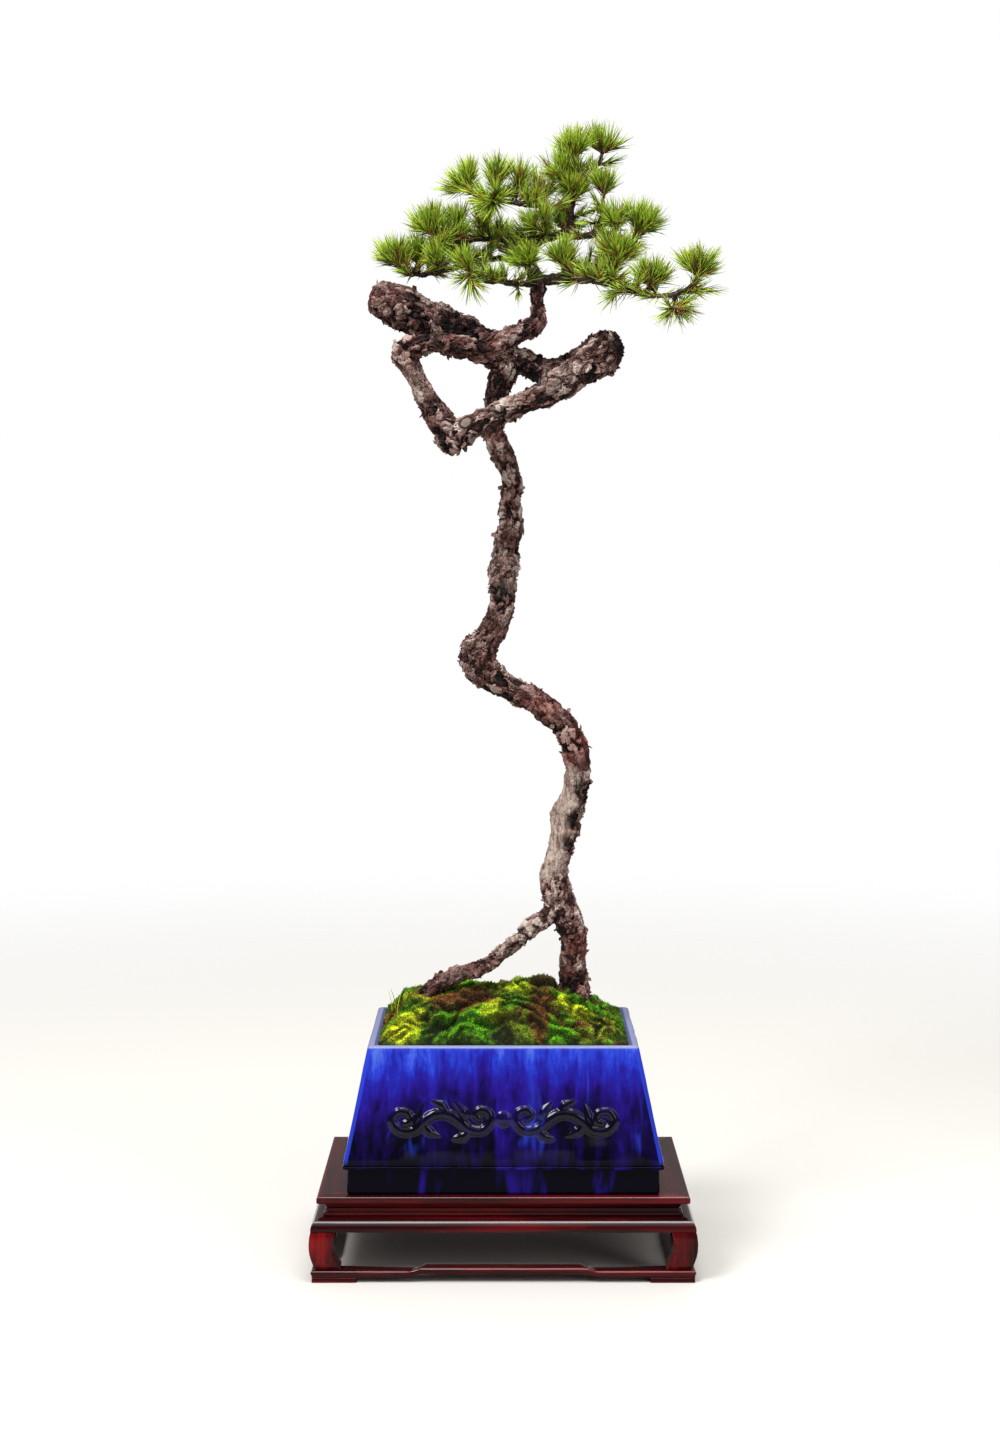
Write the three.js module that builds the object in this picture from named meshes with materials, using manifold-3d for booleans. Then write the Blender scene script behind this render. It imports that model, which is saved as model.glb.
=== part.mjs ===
// Pine bonsai in a glazed pot on a low carved wooden stand.
// Millimetres, +X right, +Y away from the front, +Z up, origin at the bottom centre of the stand.

import * as THREE from 'three';
import { mergeVertices } from 'three/addons/utils/BufferGeometryUtils.js';
import Module from 'manifold-3d';

const wasm = await Module();
wasm.setup();

// Driving dimensions

// Clearance between pieces that rest on or against each other
const GAP = 0.3;

const STAND = {
  height: 76.5,
  topHalfWidth: 166.8,
  topHalfDepth: 98,
  frameWidth: 30,
  lipThickness: 5.5,
  frameUnderside: 64.5,
  tongueDepth: 6,
  tongueTop: 73.3,
  tongueBottom: 68.5,
  waistHalfWidth: 158,
  waistHalfDepth: 89.2,
  waistThickness: 8,
  beadTop: 60.6,
  beadProud: 3,
  apronTop: 57.2,
  apronBottom: 46,
  apronProud: 14,
  legWidth: 22,
  legBulge: 15.2,
  legFootProud: 10,
  baseHalfWidth: 172,
  baseHalfDepth: 103.2,
  baseRailWidth: 16,
  baseRailTop: 10.6,
  humpRise: 2.7,
  humpHalfShare: 0.5,
  humpRun: 12,
  footHeight: 4.5,
  footLength: 40,
  footInset: 0.8,
};

const POT = {
  rimZ: 209.5,
  rimHalfWidth: 121,
  rimHalfDepth: 83.6,
  ledgeZ: 103.5,
  ledgeHalfWidth: 144,
  ledgeHalfDepth: 96.6,
  ledgeThickness: 3,
  footHalfWidth: 140,
  footHalfDepth: 91.5,
  footRingWidth: 12,
  floorUnderZ: 82,
  floorZ: 92,
  wall: 9,
  cornerRadius: 3.5,
  drainRadius: 11,
  drainX: 62,
  roomAboveRim: 80,
};

const SCREEN = { side: 38, thickness: 1.4, holes: 2, holeSide: 13.5, barWidth: 2.8 };

const SCROLL = { centreZ: 146, startRadius: 2.4, middleRadius: 3.4, endRadius: 2, pearlRadius: 5.5 };

// One scroll stroke on the pot's front, as distance from the middle and height over the band's centre
const SCROLL_STROKE = [
  [22, 0], [25, 4], [20, 8], [13, 5], [12, -3], [19, -10], [30, -9], [39, -2], [49, 4], [61, 4],
  [71, -2], [80, -10], [92, -10], [99, -2], [94, 6], [85, 5], [83, -2], [88, -4],
];

const MOUND = {
  height: 37,
  edgeLift: 2,
  halfWidth: 111.3,
  halfDepth: 73.8,
  leftPower: 5,
  rightPower: 2.6,
  depthPower: 2.4,
  mossThickness: 8,
  depthBelowRim: 60,
  lumpCount: 46,
  lumpHeight: 3.6,
  lumpWidth: 11,
  lumpShareAtEdge: 0.25,
  lumpGrowthInwards: 4,
  hollowShare: 0.3,
  hollowDepth: 0.7,
  columns: 18,
  rows: 12,
  lumpSeed: 5,
};

// The block under the moss. It is wider than the pot and is cut to the pot's inside.
const GROUND = { halfWidth: 150, halfDepth: 100, columns: 12, rows: 8, bottom: 40 };

// Needles. A lean is in degrees from the shoot's direction.
const NEEDLE = {
  length: 25,
  shortest: 0.86,
  longest: 1.06,
  reach: 20,
  count: 20,
  rootWidth: 1.5,
  tipRadius: 0.05,
  lowLean: 62,
  tipLean: 14,
  leanSpread: 18,
  sway: 44,
  leastRise: 0.2,
  attempts: 5,
  clearance: 0.4,
  ownClearance: 0.1,
  ownShare: 0.2,
  nearby: 20,
  furthestX: 184.3,
  seed: 7,
};

const SHOOT = {
  sides: 4,
  radius: 1.35,
  sideRadius: 1.05,
  tipRadius: 0.8,
  twigLength: 5,
  twigRadius: 1.8,
  seatRadius: 1.6,
  collar: 2.2,
  sunk: 1.4,
  leafStep: 3,
  fewestSteps: 4,
  mostSteps: 6,
  shortestCore: 6,
  bow: 0.08,
};

// Wood. Each point is x, y, z and radius.

const TRUNK_LOWER = [
  [65, 2, 200, 16.5], [65, 0, 230, 16.5], [65, -1, 248, 13.6], [65, -2, 268, 12], [65, -3, 291, 11.9],
  [60, -2, 311, 13.3], [52, 0, 330, 14], [48, 3, 352, 13], [53, 5, 376, 11.3], [58, 6, 402, 12.6],
  [62, 4, 418, 13.2], [67, 2, 434, 12], [69, 0, 453, 12], [66, -2, 471, 12.6], [58, -4, 487, 12.2],
  [45, -5, 502, 11.8], [29, -4, 514, 11], [12, -2, 522, 11], [-6, 0, 533, 13], [-18, 1, 543, 14],
  [-26, 2, 554, 13.6],
];

const TRUNK_UPPER = [
  [-14, 0, 541, 13], [-24, 2, 556, 13.8], [-18, 4, 568, 12.8], [-9, 5, 582, 12], [-2, 6, 598, 11.4],
  [0, 6, 614, 11.5], [1, 5, 632, 11.5], [3, 4, 654, 11.5], [7, 2, 674, 10.8], [6, 0, 694, 9.9],
  [8, -2, 712, 10.1], [3, -2, 730, 10.3], [-4, 0, 747, 10.6], [-8, 3, 763, 10.3], [-7, 6, 783, 10.6],
  [-3, 8, 802, 11.8], [1, 8, 817, 13.9], [-2, 7, 833, 16.6],
];

// The trunk's buried foot, from well above the moss down into the soil
const TRUNK_FOOT = [
  [65, -2, 282, 13], [65, -1, 250, 14.2], [65, 0, 230, 17.2], [65, 2, 200, 17.4], [67, 4, 156, 17.4],
];

const LEANING_ROOT = [
  [53, 0, 321, 11], [42, -3, 313, 8.6], [27, -6, 304, 7.4], [12, -9, 291, 7], [-2, -12, 280, 7.2],
  [-14, -14, 271, 7.8], [-31, -16, 264, 7.1], [-49, -17, 258, 6.6], [-63, -18, 251, 6.4],
  [-75, -20, 241, 6.2], [-83, -22, 226, 5.8], [-87, -24, 206, 5],
];

const BURIED_ROOTS = [
  [[64, 2, 170, 9], [80, 14, 146, 7], [94, 30, 124, 4]],
  [[64, 2, 170, 9], [74, -16, 142, 7], [88, -34, 118, 4]],
  [[66, 2, 172, 9], [44, 16, 148, 7], [16, 30, 126, 4]],
  [[66, 2, 172, 9], [40, -12, 144, 7], [8, -26, 120, 4]],
  [[-86, -23, 211, 5], [-80, -12, 186, 4], [-64, 6, 158, 3]],
];

const THICK_STUB = [
  [2, 6, 829, 16], [-24, 3, 840, 17.2], [-47, 0, 850, 18], [-69, -3, 860, 18.4], [-90, -6, 869, 19],
  [-107, -8, 876, 17.6],
];

const REAR_LIMB = [
  [-3, 8, 827, 13.5], [13, 12, 824, 12.5], [34, 18, 816, 12.1], [56, 21, 818, 12.6], [76, 14, 827, 14],
  [89, 0, 835, 15.6],
];

const FRONT_LIMB = [
  [89, 2, 836, 15.4], [92, -14, 831, 16.6], [82, -29, 821, 15], [66, -38, 810, 14], [49, -44, 798, 12.8],
  [31, -47, 788, 11.7], [10, -48, 779, 11], [-10, -48, 770, 10.8], [-29, -46, 761, 11.7],
  [-44, -43, 752, 13.2],
];

const LEFT_LIMB = [
  [-44, -43, 752, 13], [-54, -42, 763, 11.8], [-64, -40, 778, 11.1], [-72, -39, 793, 10.1],
  [-80, -38, 809, 9.6], [-86, -37, 821, 10.2], [-89, -36, 829, 9.9],
];

const CROSSING_LIMB = [
  [-88, -36, 828, 9.9], [-79, -37, 833, 9.2], [-62, -40, 836, 8.5], [-42, -43, 834, 9], [-22, -45, 831, 9.6],
  [-3, -43, 837, 9.2], [13, -36, 845, 9.1], [27, -28, 851, 9.6],
];

const RISING_LIMB = [
  [26, -30, 849, 9.2], [31, -26, 857, 8.9], [31, -18, 869, 7.6], [31, -10, 883, 7.5], [32, -5, 894, 7.7],
];

const BRANCHES = {
  leader: [
    [32, -6, 890, 7.4], [26, -2, 906, 6], [19, 3, 920, 5], [26, 2, 930, 4.4], [40, -2, 934, 4],
    [54, 0, 938, 3.7], [61, 4, 947, 3.2], [62, 8, 962, 2.8], [65, 6, 977, 2.3], [66, 4, 989, 2],
    [64, 2, 998, 1.7],
  ],
  lowLeft: [
    [30, -5, 892, 3], [13, -14, 891, 2.5], [-3, -20, 892, 2.2], [-15, -22, 893, 2], [-26, -18, 902, 1.7],
  ],
  longLeft: [
    [21, 2, 917, 3.3], [3, 10, 918, 2.8], [-11, 14, 917, 2.5], [-25, 12, 914, 2.3], [-41, 8, 909, 2.1],
    [-59, 2, 904, 1.9], [-76, 0, 901, 1.8], [-90, -2, 902, 1.7],
  ],
  lowRight: [
    [34, -6, 894, 4.2], [53, -16, 895, 3.8], [73, -28, 893, 3.4], [91, -38, 889, 3], [107, -46, 883, 2.7],
    [127, -53, 876, 2.3], [149, -58, 876, 2], [168, -60, 884, 1.7],
  ],
  riserRight: [[91, -37, 889, 2.4], [99, -36, 901, 1.8]],
  rearRight: [[36, -2, 897, 3.4], [56, 12, 902, 2.8], [80, 22, 905, 2.3], [102, 30, 912, 1.8]],
  rearLeft: [[21, 3, 918, 3.2], [10, 22, 924, 2.6], [2, 38, 928, 2.2], [-3, 50, 931, 1.8]],
  shelfLeft: [
    [21, 3, 921, 3.4], [8, 8, 930, 3], [-5, 12, 935, 2.7], [-20, 8, 934, 2.4], [-42, 0, 931, 2.1],
    [-60, -7, 928, 1.7],
  ],
  shelfRight: [
    [53, 0, 937, 3.4], [69, -10, 934, 3], [85, -16, 935, 2.6], [99, -20, 933, 2.3], [118, -22, 927, 1.8],
  ],
  crownRight: [[87, -16, 935, 2.4], [92, -12, 948, 2.1], [90, -10, 963, 1.8]],
  crownLeft: [
    [40, -2, 934, 3.2], [38, -8, 947, 2.8], [37, -10, 959, 2.5], [25, -8, 962, 2.3], [11, -6, 964, 2.1],
    [-3, -4, 968, 1.9], [-15, -4, 971, 1.8], [-25, -5, 971, 1.7],
  ],
  apexRight: [[63, 5, 985, 2.1], [76, 4, 993, 1.9], [88, 2, 1002, 1.7]],
};

// Sprays of needles. Each one sits on a twig that leaves its branch at "from", and reaches out to the tips.
// The twig is longer where the branch is thick.

const SPRAYS = [
  { name: 'left_tip', from: [-90, -2, 902], tips: [[-117, -4, 919], [-110, 10, 931], [-96, -12, 931]] },
  { name: 'left_outer', from: [-76, 0, 901], tips: [[-85, 14, 932], [-72, -4, 938]] },
  { name: 'left_front', from: [-59, 2, 904], tips: [[-60, -18, 931], [-58, -40, 910]] },
  { name: 'left_inner', from: [-41, 8, 909], tips: [[-50, 14, 936], [-38, 42, 934]] },
  { name: 'low_left', from: [-26, -18, 902], tips: [[-38, -42, 914], [-33, -26, 879]] },
  { name: 'shelf_left_tip', from: [-60, -7, 928], tips: [[-84, -12, 946], [-75, -4, 961], [-56, 2, 961]] },
  { name: 'shelf_left_middle', from: [-42, 0, 931], tips: [[-41, -8, 958], [-49, 30, 954]] },
  { name: 'shelf_left_inner', from: [-20, 8, 934], tips: [[-21, -18, 951], [-18, 45, 952]] },
  {
    name: 'crown_left_tip',
    from: [-25, -5, 971],
    tips: [[-56, -8, 974], [-47, 0, 993], [-33, -12, 1000], [-27, 26, 997]],
  },
  {
    name: 'crown_left_middle',
    from: [-3, -4, 968],
    tips: [[-9, -8, 1005], [3, 2, 1013], [-28, -18, 953], [-10, -32, 944]],
  },
  { name: 'crown_left_inner', from: [11, -6, 964], tips: [[18, -12, 1004], [15, 26, 998]] },
  { name: 'crown_rear', from: [37, -10, 959], tips: [[26, 24, 990], [44, 34, 994]] },
  { name: 'apex', from: [64, 2, 998], tips: [[60, 2, 1035], [45, 12, 1028], [78, -8, 1025]] },
  { name: 'apex_left', from: [65, 6, 979], tips: [[43, -4, 1010], [35, -22, 992], [62, 44, 1006]] },
  { name: 'apex_front', from: [62, 8, 964], tips: [[56, -26, 986], [80, -20, 981]] },
  { name: 'apex_right', from: [88, 2, 1002], tips: [[76, 8, 1027], [90, -6, 1029], [107, 2, 1020]] },
  { name: 'crown_right', from: [90, -10, 963], tips: [[80, -18, 989], [101, -4, 991]] },
  {
    name: 'shelf_right_tip',
    from: [118, -22, 927],
    tips: [[115, -24, 961], [128, -16, 963], [144, -28, 946]],
  },
  { name: 'shelf_right_rear', from: [98, -20, 935], tips: [[109, 14, 958], [97, -52, 942]] },
  { name: 'riser_right', from: [99, -36, 901], tips: [[89, -38, 928], [105, -54, 928], [123, -42, 920]] },
  { name: 'middle_right', from: [53, -16, 896], twig: 7, tips: [[44, -36, 924], [66, -34, 925]] },
  { name: 'middle_left', from: [25, -2, 907], twig: 9, tips: [[7, -28, 908], [30, -38, 912]] },
  { name: 'middle_upper', from: [40, -2, 934], twig: 8, tips: [[18, -26, 940], [40, -30, 955]] },
  { name: 'middle_rear', from: [54, 0, 938], twig: 7, tips: [[47, 32, 961], [71, 38, 954]] },
  {
    name: 'low_right_middle',
    from: [127, -53, 876],
    tips: [[118, -46, 903], [136, -62, 905], [152, -48, 897]],
  },
  {
    name: 'low_right_tip',
    from: [168, -60, 884],
    tips: [[159, -64, 909], [170, -46, 917], [182, -66, 915], [184, -58, 896]],
  },
  { name: 'low_right_drop', from: [149, -58, 876], tips: [[145, -66, 850], [165, -50, 860]] },
  { name: 'rear_right', from: [102, 30, 912], tips: [[99, 44, 939], [124, 44, 928], [88, 64, 929]] },
  { name: 'rear_left', from: [-3, 50, 931], tips: [[-20, 62, 954], [1, 78, 960], [16, 84, 941]] },
];

// The usual distance between the rings of a limb, the stub, a branch and a root, and between obstacles
const LIMB_STEP = 16;
const STUB_STEP = 11;
const BRANCH_STEP = 18;
const ROOT_STEP = 60;
const ROD_STEP = 8;

const BARK_ROUGHNESS = 0.1;
const BRANCH_ROUGHNESS = 0.08;
const BARK_SEED = 21;
const SOIL_CLEARANCE = 0.6;

// The most that a limb's radius may be, as a share of the radius that its middle bends to
const MOST_BEND = 0.8;

// How far past a limb's end its rounding reaches, and how wide it is there, both in radii
const ROUNDING = [[0.5, 0.82], [0.85, 0.35]];

// Random draws

function seededRandom(seed) {
  let state = seed >>> 0;
  return () => {
    state = (state + 0x6d2b79f5) >>> 0;
    let mixed = Math.imul(state ^ (state >>> 15), 1 | state);
    mixed = (mixed + Math.imul(mixed ^ (mixed >>> 7), 61 | mixed)) ^ mixed;
    return ((mixed ^ (mixed >>> 14)) >>> 0) / 4294967296;
  };
}

// Meshes and solids

function meshGeometry(points, triangles) {
  const geometry = new THREE.BufferGeometry();
  const numbers = points.flatMap((point) => point.toArray());
  geometry.setAttribute('position', new THREE.Float32BufferAttribute(numbers, 3));
  geometry.setIndex(triangles.flat());
  return geometry;
}

function solidOf(geometry) {
  const bare = geometry.clone();
  bare.deleteAttribute('normal');
  bare.deleteAttribute('uv');
  const merged = mergeVertices(bare, 1e-4);
  const mesh = new wasm.Mesh({
    numProp: 3,
    vertProperties: new Float32Array(merged.attributes.position.array),
    triVerts: new Uint32Array(merged.index.array),
  });
  return new wasm.Manifold(mesh);
}

function geometryOf(solid) {
  const mesh = solid.getMesh();
  const geometry = new THREE.BufferGeometry();
  geometry.setAttribute('position', new THREE.BufferAttribute(new Float32Array(mesh.vertProperties), 3));
  geometry.setIndex(new THREE.BufferAttribute(new Uint32Array(mesh.triVerts), 1));
  return geometry;
}

function joined(solids) {
  return solids.reduce((whole, solid) => whole.add(solid));
}

function cutBy(solid, tools) {
  return tools.reduce((rest, tool) => rest.subtract(tool), solid);
}

// A closed skin through rings of points that turn counter-clockwise about the way they advance
function loft(rings) {
  const count = rings[0].length;
  const triangles = [];
  for (let ring = 0; ring + 1 < rings.length; ring += 1) {
    for (let side = 0; side < count; side += 1) {
      const a = ring * count + side;
      const b = ring * count + ((side + 1) % count);
      triangles.push([a, b, b + count], [a, b + count, a + count]);
    }
  }
  const last = (rings.length - 1) * count;
  for (let side = 1; side + 1 < count; side += 1) {
    triangles.push([0, side + 1, side], [last, last + side, last + side + 1]);
  }
  return meshGeometry(rings.flat(), triangles);
}

function boxBetween(low, high) {
  const geometry = new THREE.BoxGeometry(high[0] - low[0], high[1] - low[1], high[2] - low[2]);
  return geometry.translate((low[0] + high[0]) / 2, (low[1] + high[1]) / 2, (low[2] + high[2]) / 2);
}

function vector(point) {
  return new THREE.Vector3(point[0], point[1], point[2]);
}

// Limbs swept along a curve

// Stations along a limb: position, radius, direction, bend and a side direction that doesn't twist
function limbStations(points, step) {
  const curve = new THREE.CatmullRomCurve3(points.map(vector), false, 'catmullrom', 0.5);
  const spans = points.length - 1;
  const stations = [];
  for (let span = 0; span < spans; span += 1) {
    const length = vector(points[span]).distanceTo(vector(points[span + 1]));
    const parts = Math.max(1, Math.round(length / step));
    for (let part = span === 0 ? 0 : 1; part <= parts; part += 1) {
      const share = part / parts;
      const radius = THREE.MathUtils.lerp(points[span][3], points[span + 1][3], share);
      stations.push({ position: curve.getPoint((span + share) / spans), radius });
    }
  }
  return withFrames(stations);
}

function withFrames(stations) {
  const last = stations.length - 1;
  stations.forEach((station, i) => {
    const before = stations[Math.max(0, i - 1)].position;
    const after = stations[Math.min(last, i + 1)].position;
    station.direction = after.clone().sub(before).normalize();
  });
  const first = stations[0];
  const isAlongX = Math.abs(first.direction.x) > 0.7;
  const reference = isAlongX ? new THREE.Vector3(0, 1, 0) : new THREE.Vector3(1, 0, 0);
  first.side = reference.addScaledVector(first.direction, -reference.dot(first.direction)).normalize();
  for (let i = 1; i <= last; i += 1) {
    const turn = new THREE.Quaternion().setFromUnitVectors(stations[i - 1].direction, stations[i].direction);
    stations[i].side = stations[i - 1].side.clone().applyQuaternion(turn).normalize();
  }
  stations.forEach((station, i) => {
    const before = stations[Math.max(0, i - 1)];
    const after = stations[Math.min(last, i + 1)];
    const length = Math.max(1e-6, after.position.distanceTo(before.position));
    station.bend = after.direction.clone().sub(before.direction).divideScalar(length);
  });
  return stations;
}

// A radius that stays short of the centre of a tight bend
function boundedRadius(station, outward, radius) {
  const bend = outward.dot(station.bend);
  return bend * radius > MOST_BEND ? MOST_BEND / bend : radius;
}

function limbRings(stations, sides, roughness = 0, random = () => 0.5) {
  return stations.map((station) => {
    const across = station.direction.clone().cross(station.side);
    return Array.from({ length: sides }, (_, i) => {
      const angle = (2 * Math.PI * i) / sides;
      const outward = station.side.clone().multiplyScalar(Math.cos(angle));
      outward.addScaledVector(across, Math.sin(angle));
      const rough = station.radius * (1 + roughness * (2 * random() - 1));
      return station.position.clone().addScaledVector(outward, boundedRadius(station, outward, rough));
    });
  });
}

// Stations that round off a limb's end
function roundEnd(stations) {
  const end = stations[stations.length - 1];
  return ROUNDING.map(([along, share]) => ({
    ...end,
    position: end.position.clone().addScaledVector(end.direction, along * end.radius),
    radius: share * end.radius,
    bend: new THREE.Vector3(),
  }));
}

function limb(points, { sides, step, roughness = 0, seed = 1, rounded = false }) {
  const stations = limbStations(points, step);
  const all = rounded ? stations.concat(roundEnd(stations)) : stations;
  return loft(limbRings(all, sides, roughness, seededRandom(seed)));
}

// A plain hole that a stem or root stands in, a little wider and longer than the wood
function stemHole(points, sides) {
  const wider = points.map(([x, y, z, radius]) => (
    [x, y, z, (radius * (1 + BARK_ROUGHNESS)) / Math.cos(Math.PI / sides) + SOIL_CLEARANCE]
  ));
  const stations = limbStations(wider, ROOT_STEP);
  const end = stations[stations.length - 1];
  end.position.addScaledVector(end.direction, SOIL_CLEARANCE);
  return loft(limbRings(stations, sides));
}

// Obstacles that the needles keep clear of: tapered rods with a radius at each end

function rodsAlong(points, step, roughness) {
  const stations = limbStations(points, step);
  return stations.slice(1).map((station, i) => ({
    start: stations[i].position,
    end: station.position,
    startRadius: stations[i].radius * (1 + roughness),
    endRadius: station.radius * (1 + roughness),
  }));
}

// Room left between two rods, with how far along each the narrowest place lies
function roomBetween(one, two) {
  const u = one.end.clone().sub(one.start);
  const v = two.end.clone().sub(two.start);
  const w = one.start.clone().sub(two.start);
  const a = u.dot(u);
  const b = u.dot(v);
  const c = v.dot(v);
  const d = u.dot(w);
  const e = v.dot(w);
  const denominator = a * c - b * b;
  let s = denominator > 1e-9 ? THREE.MathUtils.clamp((b * e - c * d) / denominator, 0, 1) : 0;
  const t = THREE.MathUtils.clamp((b * s + e) / c, 0, 1);
  s = THREE.MathUtils.clamp((b * t - d) / a, 0, 1);
  const gap = w.addScaledVector(u, s).addScaledVector(v, -t).length();
  const reach = one.startRadius * (1 - s) + one.endRadius * s + two.startRadius * (1 - t) + two.endRadius * t;
  return { room: gap - reach, s, t };
}

function farApart(one, two, margin) {
  const centres = one.start.distanceTo(two.start);
  return centres > one.start.distanceTo(one.end) + two.start.distanceTo(two.end) + margin;
}

// Needles raised from the faces of a slim shoot

function segmentMeetsTriangle(start, end, a, b, c) {
  const direction = end.clone().sub(start);
  const ab = b.clone().sub(a);
  const ac = c.clone().sub(a);
  const p = direction.clone().cross(ac);
  const determinant = ab.dot(p);
  if (Math.abs(determinant) < 1e-12) {
    return false;
  }
  const offset = start.clone().sub(a);
  const u = offset.dot(p) / determinant;
  const q = offset.cross(ab);
  const v = direction.dot(q) / determinant;
  const t = ac.dot(q) / determinant;
  const slack = 0.02;
  return u > -slack && v > -slack && u + v < 1 + slack && t > -slack && t < 1 + slack;
}

// Whether two needles of one shoot run through each other. They may share a corner or an edge of the shoot.
function needlesCross(one, two) {
  const edges = (needle) => [0, 1, 2].map((i) => [needle.root[i], needle.tip]);
  const faces = (needle) => [0, 1, 2].map((i) => [needle.root[i], needle.root[(i + 1) % 3], needle.tip]);
  const crosses = (first, second) => edges(first).some(([start, end]) => (
    faces(second).some((face) => !face.includes(start) && segmentMeetsTriangle(start, end, ...face))
  ));
  return crosses(one, two) || crosses(two, one);
}

// Stations along a shoot. The first shoot of a spray is the thickest, and the others start inside it.
function shootStations(path, isFirst) {
  const curve = new THREE.CatmullRomCurve3(path, false, 'catmullrom', 0.5);
  const length = curve.getLength();
  const leafShare = isFirst ? SHOOT.collar / length : SHOOT.sunk / length;
  const wanted = Math.round(((1 - leafShare) * length) / SHOOT.leafStep);
  const leafSteps = THREE.MathUtils.clamp(wanted, SHOOT.fewestSteps, SHOOT.mostSteps);
  const shares = [0];
  for (let i = 0; i <= leafSteps; i += 1) {
    shares.push(leafShare + ((1 - leafShare) * i) / leafSteps);
  }
  const rootRadius = isFirst ? SHOOT.radius : SHOOT.sideRadius;
  const stations = shares.map((share) => ({
    position: curve.getPointAt(Math.min(1, share)),
    radius: THREE.MathUtils.lerp(rootRadius, SHOOT.tipRadius, share),
  }));
  return withFrames(stations);
}

// The faces of a shoot's skin, each with its place along the needle-bearing stretch, or -1 where bare.
// The first stretch, between the first two rings, is bare.
function shootSkin(stations) {
  const points = limbRings(stations, SHOOT.sides).flat();
  const faces = [];
  const leafRings = stations.length - 2;
  for (let ring = 0; ring + 1 < stations.length; ring += 1) {
    const place = ring === 0 ? -1 : (ring - 1) / leafRings;
    for (let side = 0; side < SHOOT.sides; side += 1) {
      const a = ring * SHOOT.sides + side;
      const b = ring * SHOOT.sides + ((side + 1) % SHOOT.sides);
      faces.push({ corners: [a, b, b + SHOOT.sides], ring, place });
      faces.push({ corners: [a, b + SHOOT.sides, a + SHOOT.sides], ring, place });
    }
  }
  const last = (stations.length - 1) * SHOOT.sides;
  const end = stations.length - 1;
  for (let side = 1; side + 1 < SHOOT.sides; side += 1) {
    faces.push({ corners: [0, side + 1, side], ring: 0, place: -1 });
    faces.push({ corners: [last, last + side, last + side + 1], ring: end, place: 1 });
  }
  return { points, faces };
}

// Where a needle raised from a face ends. It leans out widely low on the shoot and hardly at its tip.
function needleTip(station, root, place, random) {
  const centre = root[0].clone().add(root[1]).add(root[2]).divideScalar(3);
  const outward = centre.clone().sub(station.position);
  outward.addScaledVector(station.direction, -outward.dot(station.direction));
  outward.normalize();
  const sway = NEEDLE.sway * (random() - 0.5);
  outward.applyAxisAngle(station.direction, THREE.MathUtils.degToRad(sway));
  const middleLean = THREE.MathUtils.lerp(NEEDLE.lowLean, NEEDLE.tipLean, place);
  const lean = THREE.MathUtils.degToRad(middleLean + NEEDLE.leanSpread * (random() - 0.5));
  const heading = station.direction.clone().multiplyScalar(Math.cos(lean));
  heading.addScaledVector(outward, Math.sin(lean));
  const length = NEEDLE.length * THREE.MathUtils.lerp(NEEDLE.shortest, NEEDLE.longest, random());
  return centre.addScaledVector(heading, length);
}

function growNeedles(shoot, obstacles, random) {
  const order = shoot.faces.filter((face) => face.place >= 0);
  for (let i = order.length - 1; i > 0; i -= 1) {
    const other = Math.floor(random() * (i + 1));
    [order[i], order[other]] = [order[other], order[i]];
  }
  const needles = [];
  for (const face of order) {
    if (needles.length >= NEEDLE.count) {
      break;
    }
    const root = face.corners.map((corner) => shoot.points[corner]);
    const normal = root[1].clone().sub(root[0]).cross(root[2].clone().sub(root[0])).normalize();
    const centre = root[0].clone().add(root[1]).add(root[2]).divideScalar(3);
    const radii = { startRadius: 0.6 * NEEDLE.rootWidth, endRadius: NEEDLE.tipRadius };
    for (let attempt = 0; attempt < NEEDLE.attempts; attempt += 1) {
      const tip = needleTip(shoot.stations[face.ring], root, face.place, random);
      const rod = { start: centre, end: tip, ...radii };
      const rises = normal.dot(tip.clone().sub(centre).normalize()) > NEEDLE.leastRise;
      const needle = { root, tip, face, rod };
      const clear = rises
        && tip.x < NEEDLE.furthestX
        && !needles.some((grown) => needlesCross(needle, grown))
        && !obstacles.some((other) => isInTheWay(rod, other, shoot));
      if (clear) {
        needles.push(needle);
        break;
      }
    }
  }
  return needles;
}

// A needle may start on its own shoot, so only what lies further along it counts there
function isInTheWay(rod, other, shoot) {
  if (farApart(rod, other, NEEDLE.nearby)) {
    return false;
  }
  const { room, s } = roomBetween(rod, other);
  const own = other.owner === shoot.name;
  return own ? s > NEEDLE.ownShare && room < NEEDLE.ownClearance : room < NEEDLE.clearance;
}

// The skin with each grown needle in place of the face that it stands on
function shootSolid(shoot, needles) {
  const points = shoot.points.slice();
  const grown = new Map(needles.map((needle) => [needle.face, needle]));
  const triangles = shoot.faces.flatMap((face) => {
    const needle = grown.get(face);
    if (!needle) {
      return [face.corners];
    }
    const [a, b, c] = face.corners;
    const tip = points.push(needle.tip) - 1;
    return [[a, b, tip], [b, c, tip], [c, a, tip]];
  });
  return solidOf(meshGeometry(points, triangles));
}

// Where a spray sits: just off the branch, headed for the middle of its tips
function seatOf(spray) {
  const from = vector(spray.from);
  const heading = new THREE.Vector3();
  spray.tips.forEach((tip) => heading.add(vector(tip).sub(from).normalize()));
  heading.normalize();
  const twigLength = spray.twig ?? SHOOT.twigLength;
  return { from, heading, seat: from.clone().addScaledVector(heading, twigLength) };
}

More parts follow.
